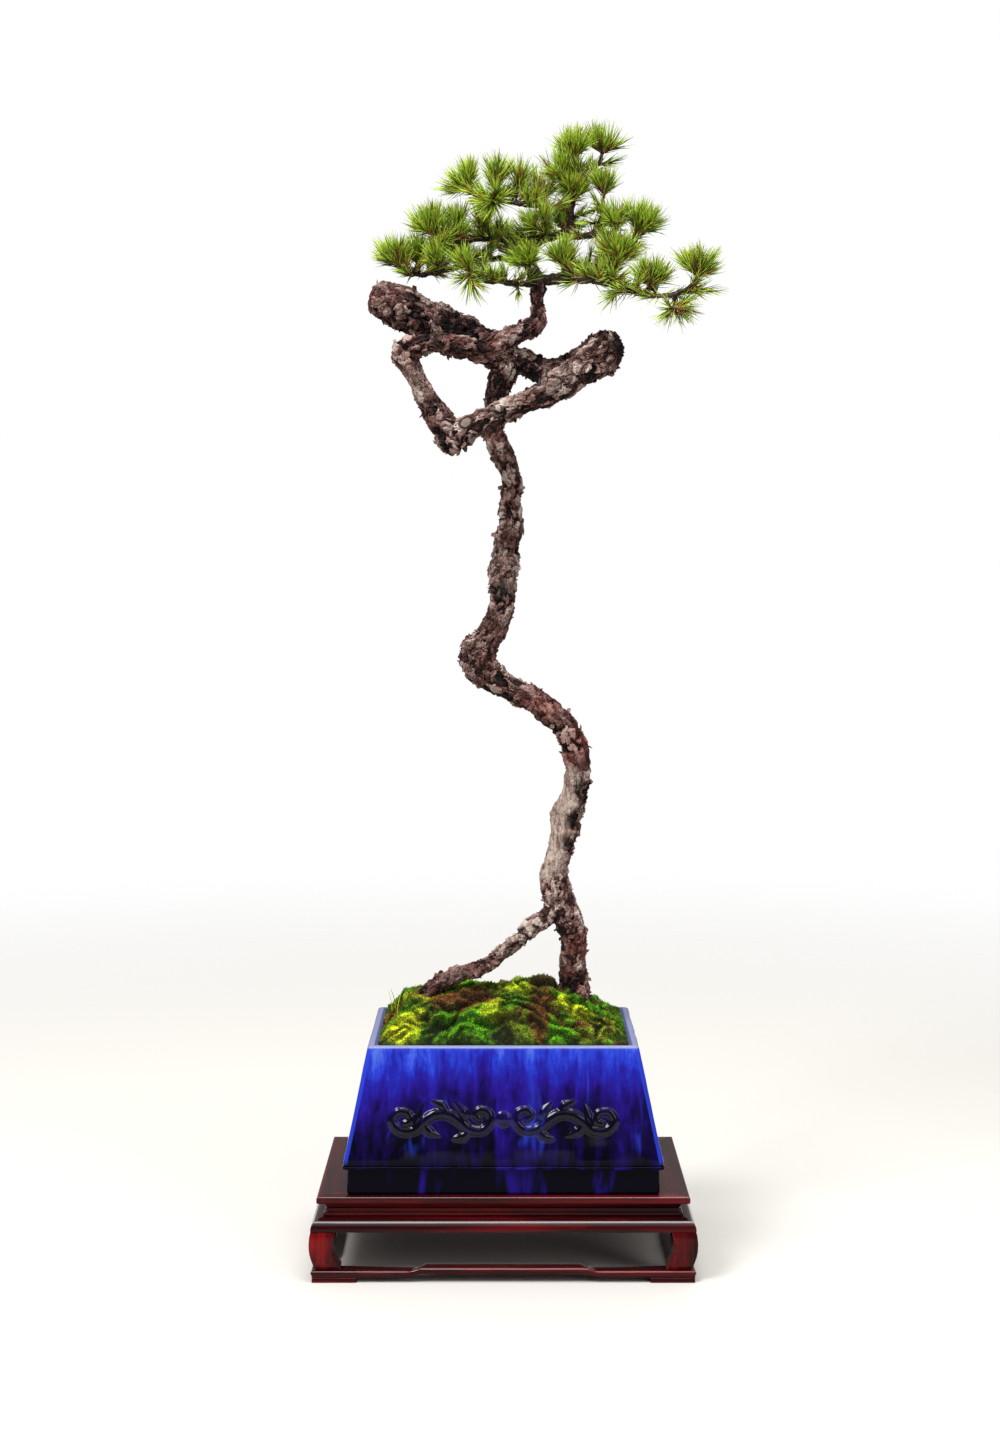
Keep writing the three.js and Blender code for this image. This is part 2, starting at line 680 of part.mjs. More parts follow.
function shootsOf(spray) {
  const { heading, seat } = seatOf(spray);
  const collar = seat.clone().addScaledVector(heading, SHOOT.collar);
  return spray.tips.map((tip, i) => {
    const towards = vector(tip).sub(collar);
    const core = Math.max(SHOOT.shortestCore, towards.length() - NEEDLE.reach);
    const end = collar.clone().addScaledVector(towards.normalize(), core);
    const middle = collar.clone().lerp(end, 0.5).addScaledVector(heading, SHOOT.bow * core);
    const path = i === 0 ? [seat, collar, middle, end] : [collar, middle, end];
    const stations = shootStations(path, i === 0);
    return { name: spray.name, stations, ...shootSkin(stations) };
  });
}

function coreRods(shoot) {
  return shoot.stations.slice(1).map((station, i) => ({
    start: shoot.stations[i].position,
    end: station.position,
    startRadius: shoot.stations[i].radius,
    endRadius: station.radius,
    owner: shoot.name,
  }));
}

// Sub-parts: the wooden stand

// A rail with mitred ends along the front of a rectangle, from a profile of outward distance and height
function mitredRail(halfLong, halfDeep, profile, lifts = [[-1, 0], [1, 0]]) {
  const rings = lifts.map(([share, lift]) => profile.map(([out, z]) => (
    new THREE.Vector3(share * (halfLong + out - GAP / 2), -(halfDeep + out), z + lift)
  )));
  const count = profile.length;
  const triangles = [];
  for (let ring = 0; ring + 1 < rings.length; ring += 1) {
    for (let i = 0; i < count; i += 1) {
      const a = ring * count + i;
      const b = ring * count + ((i + 1) % count);
      triangles.push([a, b, b + count], [a, b + count, a + count]);
    }
  }
  const outline = profile.map(([out, z]) => new THREE.Vector2(-out, z));
  const last = (rings.length - 1) * count;
  THREE.ShapeUtils.triangulateShape(outline, []).forEach(([a, b, c]) => {
    triangles.push([a, c, b], [last + a, last + b, last + c]);
  });
  return meshGeometry(rings.flat(), triangles);
}

// The four rails round a rectangle: front, right, back and left
function railsRound(halfWidth, halfDepth, profile, hump) {
  return ['front', 'right', 'back', 'left'].map((where, quarter) => {
    const along = quarter % 2 === 0;
    const rail = mitredRail(along ? halfWidth : halfDepth, along ? halfDepth : halfWidth, profile, hump);
    return [where, rail.rotateZ((quarter * Math.PI) / 2)];
  });
}

function topFrameRails() {
  const { height, lipThickness, frameUnderside, frameWidth, tongueDepth, tongueTop, tongueBottom } = STAND;
  const groove = -frameWidth + tongueDepth;
  const profile = [
    [-1, height], [0, height - 1], [0, height - lipThickness], [-2, height - lipThickness - 1.2],
    [-7.5, height - lipThickness - 3.4], [-9.2, frameUnderside], [-frameWidth, frameUnderside],
    [-frameWidth, tongueBottom], [groove, tongueBottom], [groove, tongueTop], [-frameWidth, tongueTop],
    [-frameWidth, height],
  ];
  return railsRound(STAND.topHalfWidth, STAND.topHalfDepth, profile);
}

function topPanel() {
  const { height, frameUnderside, topHalfWidth, topHalfDepth, frameWidth } = STAND;
  const { tongueDepth, tongueTop, tongueBottom } = STAND;
  const width = topHalfWidth - frameWidth - GAP;
  const depth = topHalfDepth - frameWidth - GAP;
  const tongue = tongueDepth - GAP;
  const body = solidOf(boxBetween([-width, -depth, frameUnderside + 0.5], [width, depth, height]));
  const low = [-width - tongue, -depth - tongue, tongueBottom + GAP];
  const high = [width + tongue, depth + tongue, tongueTop - GAP];
  return geometryOf(body.add(solidOf(boxBetween(low, high))));
}

function waistBoards() {
  const { frameUnderside, waistThickness, beadTop, beadProud, apronTop } = STAND;
  const bottom = apronTop + GAP;
  const profile = [
    [0, frameUnderside - GAP], [0, beadTop], [beadProud - 1, beadTop], [beadProud, beadTop - 1],
    [beadProud, bottom + 0.8], [beadProud - 1, bottom], [-waistThickness, bottom],
    [-waistThickness, frameUnderside - GAP],
  ];
  return railsRound(STAND.waistHalfWidth, STAND.waistHalfDepth, profile);
}

function aprons() {
  const { apronTop, apronBottom, apronProud, waistThickness } = STAND;
  const shoulder = [[4, 0], [8, 0.9], [11.2, 3], [13.2, 6], [apronProud, 9]];
  const profile = [
    [-waistThickness, apronTop], ...shoulder.map(([out, drop]) => [out, apronTop - drop]),
    [apronProud, apronBottom], [6, apronBottom], [2.5, apronBottom + 3.5],
    [-waistThickness, apronBottom + 3.5],
  ];
  return railsRound(STAND.waistHalfWidth, STAND.waistHalfDepth, profile);
}

// How far a leg's outer faces stand out from the waist, from its foot (0) to its top (1)
function legProud(share) {
  const { legBulge, legFootProud, apronProud } = STAND;
  const ends = THREE.MathUtils.lerp(legFootProud, apronProud, share);
  const middle = legBulge - (legFootProud + apronProud) / 2;
  return ends + middle * Math.sin(Math.PI * share) ** 0.8;
}

// A leg with a bulging outer face and an inner face that curves with it
function leg(signX, signY) {
  const { waistHalfWidth, waistHalfDepth, legWidth, apronBottom, baseRailTop } = STAND;
  const bottom = baseRailTop + GAP;
  const top = apronBottom - GAP;
  const rings = Array.from({ length: 6 }, (_, i) => {
    const share = i / 5;
    const z = THREE.MathUtils.lerp(bottom, top, share);
    const out = legProud(share);
    const width = legWidth * (1 - 0.22 * Math.sin(Math.PI * share) ** 2);
    const farX = waistHalfWidth + out;
    const farY = waistHalfDepth + out;
    const corners = [[farX - 1, farY], [farX, farY - 1], [farX, farY - width], [farX - width, farY - width],
      [farX - width, farY]];
    const ring = corners.map(([x, y]) => new THREE.Vector3(signX * x, signY * y, z));
    return signX * signY > 0 ? ring.reverse() : ring;
  });
  return loft(rings);
}

function baseRails() {
  const { baseRailWidth, baseRailTop, footHeight, humpRise, humpHalfShare, humpRun } = STAND;
  const bottom = footHeight + GAP;
  const profile = [
    [-1.2, baseRailTop], [0, baseRailTop - 1.2], [0, baseRailTop - 2.8], [-0.8, baseRailTop - 3.4],
    [-0.8, bottom], [-baseRailWidth, bottom], [-baseRailWidth, baseRailTop],
  ];
  const run = humpRun / STAND.baseHalfWidth;
  const inner = humpHalfShare - run;
  const hump = [
    [-1, 0], [-humpHalfShare, 0], [-inner, humpRise], [inner, humpRise], [humpHalfShare, 0], [1, 0],
  ];
  return railsRound(STAND.baseHalfWidth, STAND.baseHalfDepth, profile, hump);
}

function cornerFoot(signX, signY) {
  const { baseHalfWidth, baseHalfDepth, footLength, footInset, footHeight, baseRailWidth } = STAND;
  const farX = baseHalfWidth - footInset;
  const farY = baseHalfDepth - footInset;
  const arm = baseRailWidth - footInset;
  const outline = [
    [farX, farY], [farX - footLength, farY], [farX - footLength, farY - arm], [farX - arm, farY - arm],
    [farX - arm, farY - footLength], [farX, farY - footLength],
  ].map(([x, y]) => new THREE.Vector2(signX * x, signY * y));
  return new THREE.ExtrudeGeometry(new THREE.Shape(outline), { depth: footHeight, bevelEnabled: false });
}

// Sub-parts: the pot and what it holds

function roundedRing(halfWidth, halfDepth, z, radius) {
  const corners = [[1, -1, -90], [1, 1, 0], [-1, 1, 90], [-1, -1, 180]];
  return corners.flatMap(([signX, signY, start]) => [0, 30, 60, 90].map((turn) => {
    const angle = THREE.MathUtils.degToRad(start + turn);
    const x = signX * (halfWidth - radius) + radius * Math.cos(angle);
    const y = signY * (halfDepth - radius) + radius * Math.sin(angle);
    return new THREE.Vector3(x, y, z);
  }));
}

// The pot's outer half sizes at a height between the ledge and the rim
function potHalfSizes(z) {
  const share = (z - POT.ledgeZ) / (POT.rimZ - POT.ledgeZ);
  return [
    THREE.MathUtils.lerp(POT.ledgeHalfWidth, POT.rimHalfWidth, share),
    THREE.MathUtils.lerp(POT.ledgeHalfDepth, POT.rimHalfDepth, share),
  ];
}

function potSkin() {
  const { rimZ, ledgeZ, ledgeThickness, footHalfWidth, footHalfDepth, cornerRadius } = POT;
  const bottom = STAND.height + GAP;
  const sections = [
    [footHalfWidth - 1, footHalfDepth - 1, bottom], [footHalfWidth, footHalfDepth, bottom + 1.5],
    [footHalfWidth, footHalfDepth, ledgeZ - ledgeThickness],
    [POT.ledgeHalfWidth - 0.8, POT.ledgeHalfDepth - 0.8, ledgeZ - ledgeThickness + 0.4],
    [POT.ledgeHalfWidth, POT.ledgeHalfDepth, ledgeZ],
    [...potHalfSizes(rimZ - 2.5), rimZ - 2.5],
    [POT.rimHalfWidth - 0.8, POT.rimHalfDepth - 0.8, rimZ - 0.6],
    [POT.rimHalfWidth - 2, POT.rimHalfDepth - 2, rimZ],
  ];
  return loft(sections.map(([x, y, z]) => roundedRing(x, y, z, cornerRadius)));
}

// The space inside the pot, made smaller by an inset and closed off at a given height
function potInside(inset, bottom, top) {
  const ringAt = (z) => {
    const [x, y] = potHalfSizes(Math.min(z, POT.rimZ));
    return roundedRing(x - POT.wall - inset, y - POT.wall - inset, z, POT.cornerRadius);
  };
  return loft([ringAt(bottom), ringAt(POT.rimZ), ringAt(top)]);
}

function drainHole(side) {
  const hole = new THREE.CylinderGeometry(POT.drainRadius, POT.drainRadius, 40, 12);
  return hole.rotateX(Math.PI / 2).translate(side * POT.drainX, 0, POT.floorZ);
}

// A point on the pot's sloping front face
function potFrontPoint(across, z) {
  return new THREE.Vector3(across, -potHalfSizes(z)[1], z);
}

function scrollStroke(side) {
  const { centreZ, startRadius, middleRadius, endRadius } = SCROLL;
  const points = SCROLL_STROKE.map(([across, up], i) => {
    const share = i / (SCROLL_STROKE.length - 1);
    const radius = share < 0.5
      ? THREE.MathUtils.lerp(startRadius, middleRadius, 2 * share)
      : THREE.MathUtils.lerp(middleRadius, endRadius, 2 * share - 1);
    return [...potFrontPoint(side * across, centreZ + up).toArray(), radius];
  });
  return limb(points, { sides: 5, step: 40 });
}

function scrollPearl() {
  const { pearlRadius, centreZ } = SCROLL;
  const place = potFrontPoint(0, centreZ);
  const pearl = new THREE.SphereGeometry(pearlRadius, 8, 4).scale(1, 0.6, 1);
  return pearl.translate(place.x, place.y, place.z);
}

function pot() {
  const { floorUnderZ, floorZ, footHalfWidth, footHalfDepth, footRingWidth, cornerRadius, rimZ } = POT;
  const body = solidOf(potSkin());
  const relief = [solidOf(scrollStroke(1)), solidOf(scrollStroke(-1)), solidOf(scrollPearl())];
  const recess = [STAND.height - 10, floorUnderZ].map((z) => (
    roundedRing(footHalfWidth - footRingWidth, footHalfDepth - footRingWidth, z, cornerRadius)
  ));
  const hollows = [solidOf(potInside(0, floorZ, rimZ + POT.roomAboveRim)), solidOf(loft(recess))];
  const holes = [-1, 1].map((side) => solidOf(drainHole(side)));
  return geometryOf(cutBy(joined([body, ...relief]), [...hollows, ...holes]));
}

function drainScreen(side) {
  const { side: width, thickness, holes, holeSide, barWidth } = SCREEN;
  const bottom = POT.floorZ + GAP;
  const plate = boxBetween([-width / 2, -width / 2, bottom], [width / 2, width / 2, bottom + thickness]);
  const pitch = holeSide + barWidth;
  const cuts = [];
  for (let column = 0; column < holes; column += 1) {
    for (let row = 0; row < holes; row += 1) {
      const x = (column - (holes - 1) / 2) * pitch;
      const y = (row - (holes - 1) / 2) * pitch;
      const half = holeSide / 2;
      cuts.push(solidOf(boxBetween([x - half, y - half, bottom - 5], [x + half, y + half, bottom + 5])));
    }
  }
  return geometryOf(cutBy(solidOf(plate), cuts)).translate(side * POT.drainX, 0, 0);
}

// How high the planted mound stands at a place, before the moss adds its lumps
function moundHeight(x, y) {
  const across = Math.min(1, Math.abs(x) / MOUND.halfWidth);
  const deep = Math.min(1, Math.abs(y) / MOUND.halfDepth);
  const power = x < 0 ? MOUND.leftPower : MOUND.rightPower;
  const dome = (1 - across ** power) * (1 - deep ** MOUND.depthPower);
  return POT.rimZ + MOUND.edgeLift + MOUND.height * dome;
}

function mossLumps() {
  const random = seededRandom(MOUND.lumpSeed);
  return Array.from({ length: MOUND.lumpCount }, () => {
    const isHollow = random() < MOUND.hollowShare;
    return {
      x: MOUND.halfWidth * (2 * random() - 1),
      y: MOUND.halfDepth * (2 * random() - 1),
      height: MOUND.lumpHeight * (0.4 + 0.9 * random()) * (isHollow ? -MOUND.hollowDepth : 1),
      width: MOUND.lumpWidth * (0.7 + 0.8 * random()),
    };
  });
}

// A block whose top follows a height at each place
function heightBlock(halfWidth, halfDepth, columns, rows, bottom, heightAt) {
  const points = [];
  const rowLength = columns + 1;
  for (let row = 0; row <= rows; row += 1) {
    for (let column = 0; column <= columns; column += 1) {
      const x = halfWidth * ((2 * column) / columns - 1);
      const y = halfDepth * ((2 * row) / rows - 1);
      points.push(new THREE.Vector3(x, y, heightAt(x, y)));
    }
  }
  const triangles = [];
  for (let row = 0; row < rows; row += 1) {
    for (let column = 0; column < columns; column += 1) {
      const a = row * rowLength + column;
      const d = a + rowLength;
      triangles.push([a, a + 1, d + 1], [a, d + 1, d]);
    }
  }
  const front = Array.from({ length: columns }, (_, i) => i);
  const right = Array.from({ length: rows }, (_, i) => i * rowLength + columns);
  const back = Array.from({ length: columns }, (_, i) => rows * rowLength + columns - i);
  const left = Array.from({ length: rows }, (_, i) => (rows - i) * rowLength);
  const edge = [...front, ...right, ...back, ...left];
  const lower = edge.map((index) => points.push(points[index].clone().setZ(bottom)) - 1);
  edge.forEach((index, i) => {
    const next = (i + 1) % edge.length;
    triangles.push([index, lower[i], lower[next]], [index, lower[next], edge[next]]);
  });
  const centre = points.push(new THREE.Vector3(0, 0, bottom)) - 1;
  lower.forEach((index, i) => triangles.push([centre, lower[(i + 1) % lower.length], index]));
  return meshGeometry(points, triangles);
}

// The ground that the moss lies on. It stays below the rim at the pot's walls.
function groundBlock(lift) {
  const { halfWidth, halfDepth, columns, rows, bottom } = GROUND;
  const groundAt = (x, y) => moundHeight(x, y) - MOUND.mossThickness + lift;
  return solidOf(heightBlock(halfWidth, halfDepth, columns, rows, bottom, groundAt));
}

// Plain holes in the soil and the moss, in which the trunk's foot and the roots stand
function plantingHoles() {
  const trunkHole = stemHole(TRUNK_FOOT, 8);
  const rootHole = stemHole(LEANING_ROOT.slice(7), 7);
  const roots = BURIED_ROOTS.map((root) => stemHole(root, 5));
  return joined([trunkHole, rootHole, ...roots].map(solidOf));
}

function soil(holes) {
  const { side, thickness } = SCREEN;
  const inside = solidOf(potInside(GAP, POT.floorZ + GAP, POT.rimZ + POT.roomAboveRim));
  const half = side / 2 + GAP;
  const beds = [-POT.drainX, POT.drainX].map((x) => (
    solidOf(boxBetween([x - half, -half, POT.floorZ - 5], [x + half, half, POT.floorZ + thickness + 2 * GAP]))
  ));
  return geometryOf(cutBy(inside.intersect(groundBlock(0)), [...beds, holes]));
}

function moss(holes) {
  const lumps = mossLumps();
  const mossTop = (x, y) => {
    const edge = Math.max(Math.abs(x) / MOUND.halfWidth, Math.abs(y) / MOUND.halfDepth);
    const swell = lumps.reduce((sum, lump) => {
      const distance = ((x - lump.x) ** 2 + (y - lump.y) ** 2) / lump.width ** 2;
      return sum + lump.height * Math.exp(-distance);
    }, 0);
    const share = Math.min(1, MOUND.lumpGrowthInwards * (1 - edge) + MOUND.lumpShareAtEdge);
    return moundHeight(x, y) + swell * share;
  };
  const { halfWidth, halfDepth, columns, rows } = MOUND;
  const bottom = POT.rimZ - MOUND.depthBelowRim;
  const cover = solidOf(heightBlock(halfWidth, halfDepth, columns, rows, bottom, mossTop));
  const inside = solidOf(potInside(2 * GAP, POT.floorZ, POT.rimZ + POT.roomAboveRim));
  return geometryOf(cutBy(cover.intersect(inside), [groundBlock(GAP), holes]));
}

// Sub-parts: the tree

function twig(spray) {
  const { from, heading, seat } = seatOf(spray);
  const start = from.clone().addScaledVector(heading, -0.5);
  const end = seat.clone().addScaledVector(heading, -GAP);
  const points = [[...start.toArray(), SHOOT.twigRadius], [...end.toArray(), SHOOT.seatRadius]];
  return { points, geometry: limb(points, { sides: 4, step: ROOT_STEP }) };
}

function wood() {
  const limbs = [
    { points: TRUNK_LOWER, sides: 8, step: LIMB_STEP, rounded: true },
    { points: TRUNK_UPPER, sides: 8, step: LIMB_STEP, rounded: true },
    { points: LEANING_ROOT, sides: 7, step: LIMB_STEP, rounded: false },
    { points: THICK_STUB, sides: 9, step: STUB_STEP, rounded: true },
    { points: REAR_LIMB, sides: 8, step: LIMB_STEP, rounded: true },
    { points: FRONT_LIMB, sides: 8, step: LIMB_STEP, rounded: true },
    { points: LEFT_LIMB, sides: 7, step: LIMB_STEP, rounded: true },
    { points: CROSSING_LIMB, sides: 7, step: LIMB_STEP, rounded: true },
    { points: RISING_LIMB, sides: 7, step: LIMB_STEP, rounded: true },
  ];
  const rough = limbs.map(({ points, sides, step, rounded }, i) => (
    limb(points, { sides, step, rounded, roughness: BARK_ROUGHNESS, seed: BARK_SEED + i })
  ));
  const foot = limb(TRUNK_FOOT.slice(1), { sides: 8, step: ROOT_STEP });
  const roots = BURIED_ROOTS.map((points) => limb(points, { sides: 5, step: ROOT_STEP }));
  const branches = Object.values(BRANCHES).map((points, i) => (
    limb(points, { sides: 5, step: BRANCH_STEP, roughness: BRANCH_ROUGHNESS, seed: BARK_SEED - i })
  ));
  const twigs = SPRAYS.map((spray) => twig(spray).geometry);
  return geometryOf(joined([...rough, foot, ...roots, ...branches, ...twigs].map(solidOf)));
}

function woodRods() {
  const thick = [TRUNK_UPPER, THICK_STUB, REAR_LIMB, FRONT_LIMB, LEFT_LIMB, CROSSING_LIMB, RISING_LIMB];
  return [
    ...thick.flatMap((points) => rodsAlong(points, ROD_STEP, BARK_ROUGHNESS)),
    ...Object.values(BRANCHES).flatMap((points) => rodsAlong(points, ROD_STEP, BARK_ROUGHNESS)),
    ...SPRAYS.flatMap((spray) => rodsAlong(twig(spray).points, ROD_STEP, 0)),
  ];
}

function sprays() {
  const random = seededRandom(NEEDLE.seed);
  const grouped = SPRAYS.map(shootsOf);
  const obstacles = [...woodRods(), ...grouped.flat().flatMap(coreRods)];
  return grouped.map((shoots, i) => {
    const solids = shoots.map((shoot) => {
      const needles = growNeedles(shoot, obstacles, random);
      needles.forEach((needle) => obstacles.push({ ...needle.rod, owner: `${shoot.name} needle` }));
      return shootSolid(shoot, needles);
    });
    return [SPRAYS[i].name, geometryOf(joined(solids))];
  });
}

// Materials

function material(color, roughness, metalness = 0) {
  return new THREE.MeshStandardMaterial({ color, roughness, metalness });
}

const finishes = {
  stand: () => material(0x4a0f12, 0.25),
  pot: () => material(0x1420a8, 0.12),
  screen: () => material(0x1c1c1c, 0.6),
  soil: () => material(0x2b1c12, 0.95),
  moss: () => material(0x6f9a1c, 0.95),
  bark: () => material(0x4b3329, 0.9),
  needles: () => material(0x5f9a22, 0.55),
};

// Assembly

const bonsai = new THREE.Group();

function place(name, geometry, finish) {
  const mesh = new THREE.Mesh(geometry, finish());
  mesh.name = name;
  bonsai.add(mesh);
}

topFrameRails().forEach(([where, rail]) => place(`top_rail_${where}`, rail, finishes.stand));
place('top_panel', topPanel(), finishes.stand);
waistBoards().forEach(([where, board]) => place(`waist_${where}`, board, finishes.stand));
aprons().forEach(([where, apron]) => place(`apron_${where}`, apron, finishes.stand));
baseRails().forEach(([where, rail]) => place(`base_rail_${where}`, rail, finishes.stand));

const corners = [['front_left', -1, -1], ['front_right', 1, -1], ['back_right', 1, 1], ['back_left', -1, 1]];
corners.forEach(([where, signX, signY]) => {
  place(`leg_${where}`, leg(signX, signY), finishes.stand);
  place(`foot_${where}`, cornerFoot(signX, signY), finishes.stand);
});

place('pot', pot(), finishes.pot);
place('drain_screen_left', drainScreen(-1), finishes.screen);
place('drain_screen_right', drainScreen(1), finishes.screen);

const holes = plantingHoles();
place('soil', soil(holes), finishes.soil);
place('moss', moss(holes), finishes.moss);
place('wood', wood(), finishes.bark);
sprays().forEach(([name, geometry]) => place(`spray_${name}`, geometry, finishes.needles));

export default bonsai;
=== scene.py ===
"""A pine bonsai in a blue glazed pot on a low wooden stand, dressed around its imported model.

Sizes and places are in millimetres, and become metres where a mesh is made.
"""

import itertools
import logging
import math
from dataclasses import dataclass
from enum import Enum
from typing import Any, Iterable, Optional, Sequence

import bpy
import numpy as np
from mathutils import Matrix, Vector
from mathutils.kdtree import KDTree

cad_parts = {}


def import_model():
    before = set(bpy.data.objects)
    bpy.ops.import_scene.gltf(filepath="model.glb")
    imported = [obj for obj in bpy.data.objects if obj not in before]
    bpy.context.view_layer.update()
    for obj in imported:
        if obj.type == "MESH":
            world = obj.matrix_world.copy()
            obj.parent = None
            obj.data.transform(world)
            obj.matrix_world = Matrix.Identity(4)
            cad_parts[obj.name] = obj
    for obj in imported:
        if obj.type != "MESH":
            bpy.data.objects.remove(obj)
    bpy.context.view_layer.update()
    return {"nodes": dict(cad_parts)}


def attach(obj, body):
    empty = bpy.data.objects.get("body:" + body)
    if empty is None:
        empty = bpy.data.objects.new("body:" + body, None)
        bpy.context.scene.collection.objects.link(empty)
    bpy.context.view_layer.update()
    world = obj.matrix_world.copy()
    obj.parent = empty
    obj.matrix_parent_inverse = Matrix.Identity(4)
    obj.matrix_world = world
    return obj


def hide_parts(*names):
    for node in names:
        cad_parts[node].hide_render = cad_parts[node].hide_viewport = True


LOG = logging.getLogger("bonsai")

MM = 0.001
GAP = 0.3
BODY = "root"
GOLDEN_TURN = math.radians(137.5)
FAR_AWAY = 1e9
HASH_PRIMES = (73856093, 19349663, 83492791, 9176263)
HASH_STEPS = ((13, 1274126177), (16, 2246822519))
HASH_LAST_SHIFT = 15
WORD = 0xFFFFFFFF

Array = np.ndarray
Random = np.random.Generator
Mesh = bpy.types.Mesh
Material = bpy.types.Material
Colour = tuple[float, float, float, float]
Stop = tuple[float, Colour]


def colour(red: int, green: int, blue: int) -> Colour:
    """Returns a shader colour for screen values from 0 to 255."""
    parts = [part / 255 for part in (red, green, blue)]
    linear = [part / 12.92 if part <= 0.04045 else ((part + 0.055) / 1.055) ** 2.4 for part in parts]
    return (*linear, 1.0)


def smooth_share(value: Array, low: float, high: float) -> Array:
    """Returns 0 below low, 1 above high and a smooth rise between them."""
    share = np.clip((value - low) / (high - low), 0, 1)
    return share * share * (3 - 2 * share)


def arc(start: float, end: float, count: int) -> Iterable[tuple[float, float]]:
    """Yields the cosine and the sine of evenly spaced turns between two, in degrees."""
    for turn in np.linspace(start, end, count):
        yield math.cos(math.radians(turn)), math.sin(math.radians(turn))


def lerp(low: Any, high: Any, share: Any) -> Any:
    """Returns the value at a share of the way from low to high."""
    return low + (high - low) * share


def random_at(lattice: Array, seed: int) -> Array:
    """Returns a random number from 0 to 1 for each whole-numbered place."""
    x, y, z = lattice.T
    mixed = x * HASH_PRIMES[0] ^ y * HASH_PRIMES[1] ^ z * HASH_PRIMES[2] ^ seed * HASH_PRIMES[3]
    for shift, factor in HASH_STEPS:
        mixed = ((mixed ^ (mixed >> shift)) * factor) & WORD
    return (mixed ^ (mixed >> HASH_LAST_SHIFT)) / (WORD + 1)


def lattice_noise(points: Array, size: float, seed: int) -> Array:
    """Smooth random heights in space.

    Args:
        points: Places in millimetres, one a row.
        size: Distance over which the height changes.
        seed: Picks the pattern.

    Returns:
        A height from -1 to 1 for each place.
    """
    cells = points / size
    base = np.floor(cells).astype(np.int64)
    share = cells - base
    share = share * share * (3 - 2 * share)
    total = np.zeros(len(points))
    for corner in itertools.product((0, 1), repeat=3):
        weight = np.prod(np.where(np.array(corner) == 1, share, 1 - share), axis=1)
        total += weight * (2 * random_at(base + np.array(corner), seed) - 1)
    return total


@dataclass
class Cells:
    """A random division of space, as each place sees it."""

    first: Array
    second: Array
    own: Array
    offset: Array

    @staticmethod
    def at(points: Array, size: float, seed: int) -> "Cells":
        """Finds the cell of each place.

        Args:
            points: Places in millimetres, one a row.
            size: The usual width of a cell.
            seed: Picks the pattern.

        Returns:
            The distances to the nearest two centres, the cell's own random number and the place in its cell.
        """
        scaled = points / size
        base = np.floor(scaled).astype(np.int64)
        first = np.full(len(points), FAR_AWAY)
        second = first.copy()
        own = np.zeros(len(points))
        offset = np.zeros_like(points)
        for corner in itertools.product((-1, 0, 1), repeat=3):
            lattice = base + np.array(corner)
            centre = lattice + np.stack([random_at(lattice, seed + part) for part in range(3)], axis=1)
            away = scaled - centre
            far = np.linalg.norm(away, axis=1)
            closer = far < first
            second = np.where(closer, first, np.minimum(second, far))
            own = np.where(closer, random_at(lattice, seed + 3), own)
            offset = np.where(closer[:, None], away, offset)
            first = np.minimum(first, far)
        return Cells(first * size, second * size, own, offset * size)


def layered_noise(points: Array, size: float, seed: int, layers: int = 3) -> Array:
    """Adds finer and weaker layers of noise to a first one, and returns their sum."""
    return sum(lattice_noise(points, size / 2**i, seed + i) / 2**i for i in range(layers))


# Node trees


def socket_at(sockets: Any, key: Any) -> bpy.types.NodeSocket:
    """Returns the socket with a place or an identifier."""
    if isinstance(key, int):
        return sockets[key]
    return next(socket for socket in sockets if socket.identifier == key)


class Value:
    """A node's output that takes part in Python expressions."""

    def __init__(self, nodes: "Nodes", node: bpy.types.Node, output: Any = 0) -> None:
        """Wraps one output of a node."""
        self.nodes = nodes
        self.node = node
        self.socket = socket_at(node.outputs, output) if node.outputs else None

    def __add__(self, other: Any) -> "Value":
        """Adds a number or value."""
        return self.nodes.maths("ADD", self, other)

    def __sub__(self, other: Any) -> "Value":
        """Subtracts a number or value."""
        return self.nodes.maths("SUBTRACT", self, other)

    def __rsub__(self, other: Any) -> "Value":
        """Is subtracted from a number."""
        return self.nodes.maths("SUBTRACT", other, self)

    def __mul__(self, other: Any) -> "Value":
        """Multiplies by a number or value."""
        return self.nodes.maths("MULTIPLY", self, other)

    __radd__ = __add__
    __rmul__ = __mul__

    def other(self, output: Any) -> "Value":
        """Returns another output of the same node."""
        return Value(self.nodes, self.node, output)


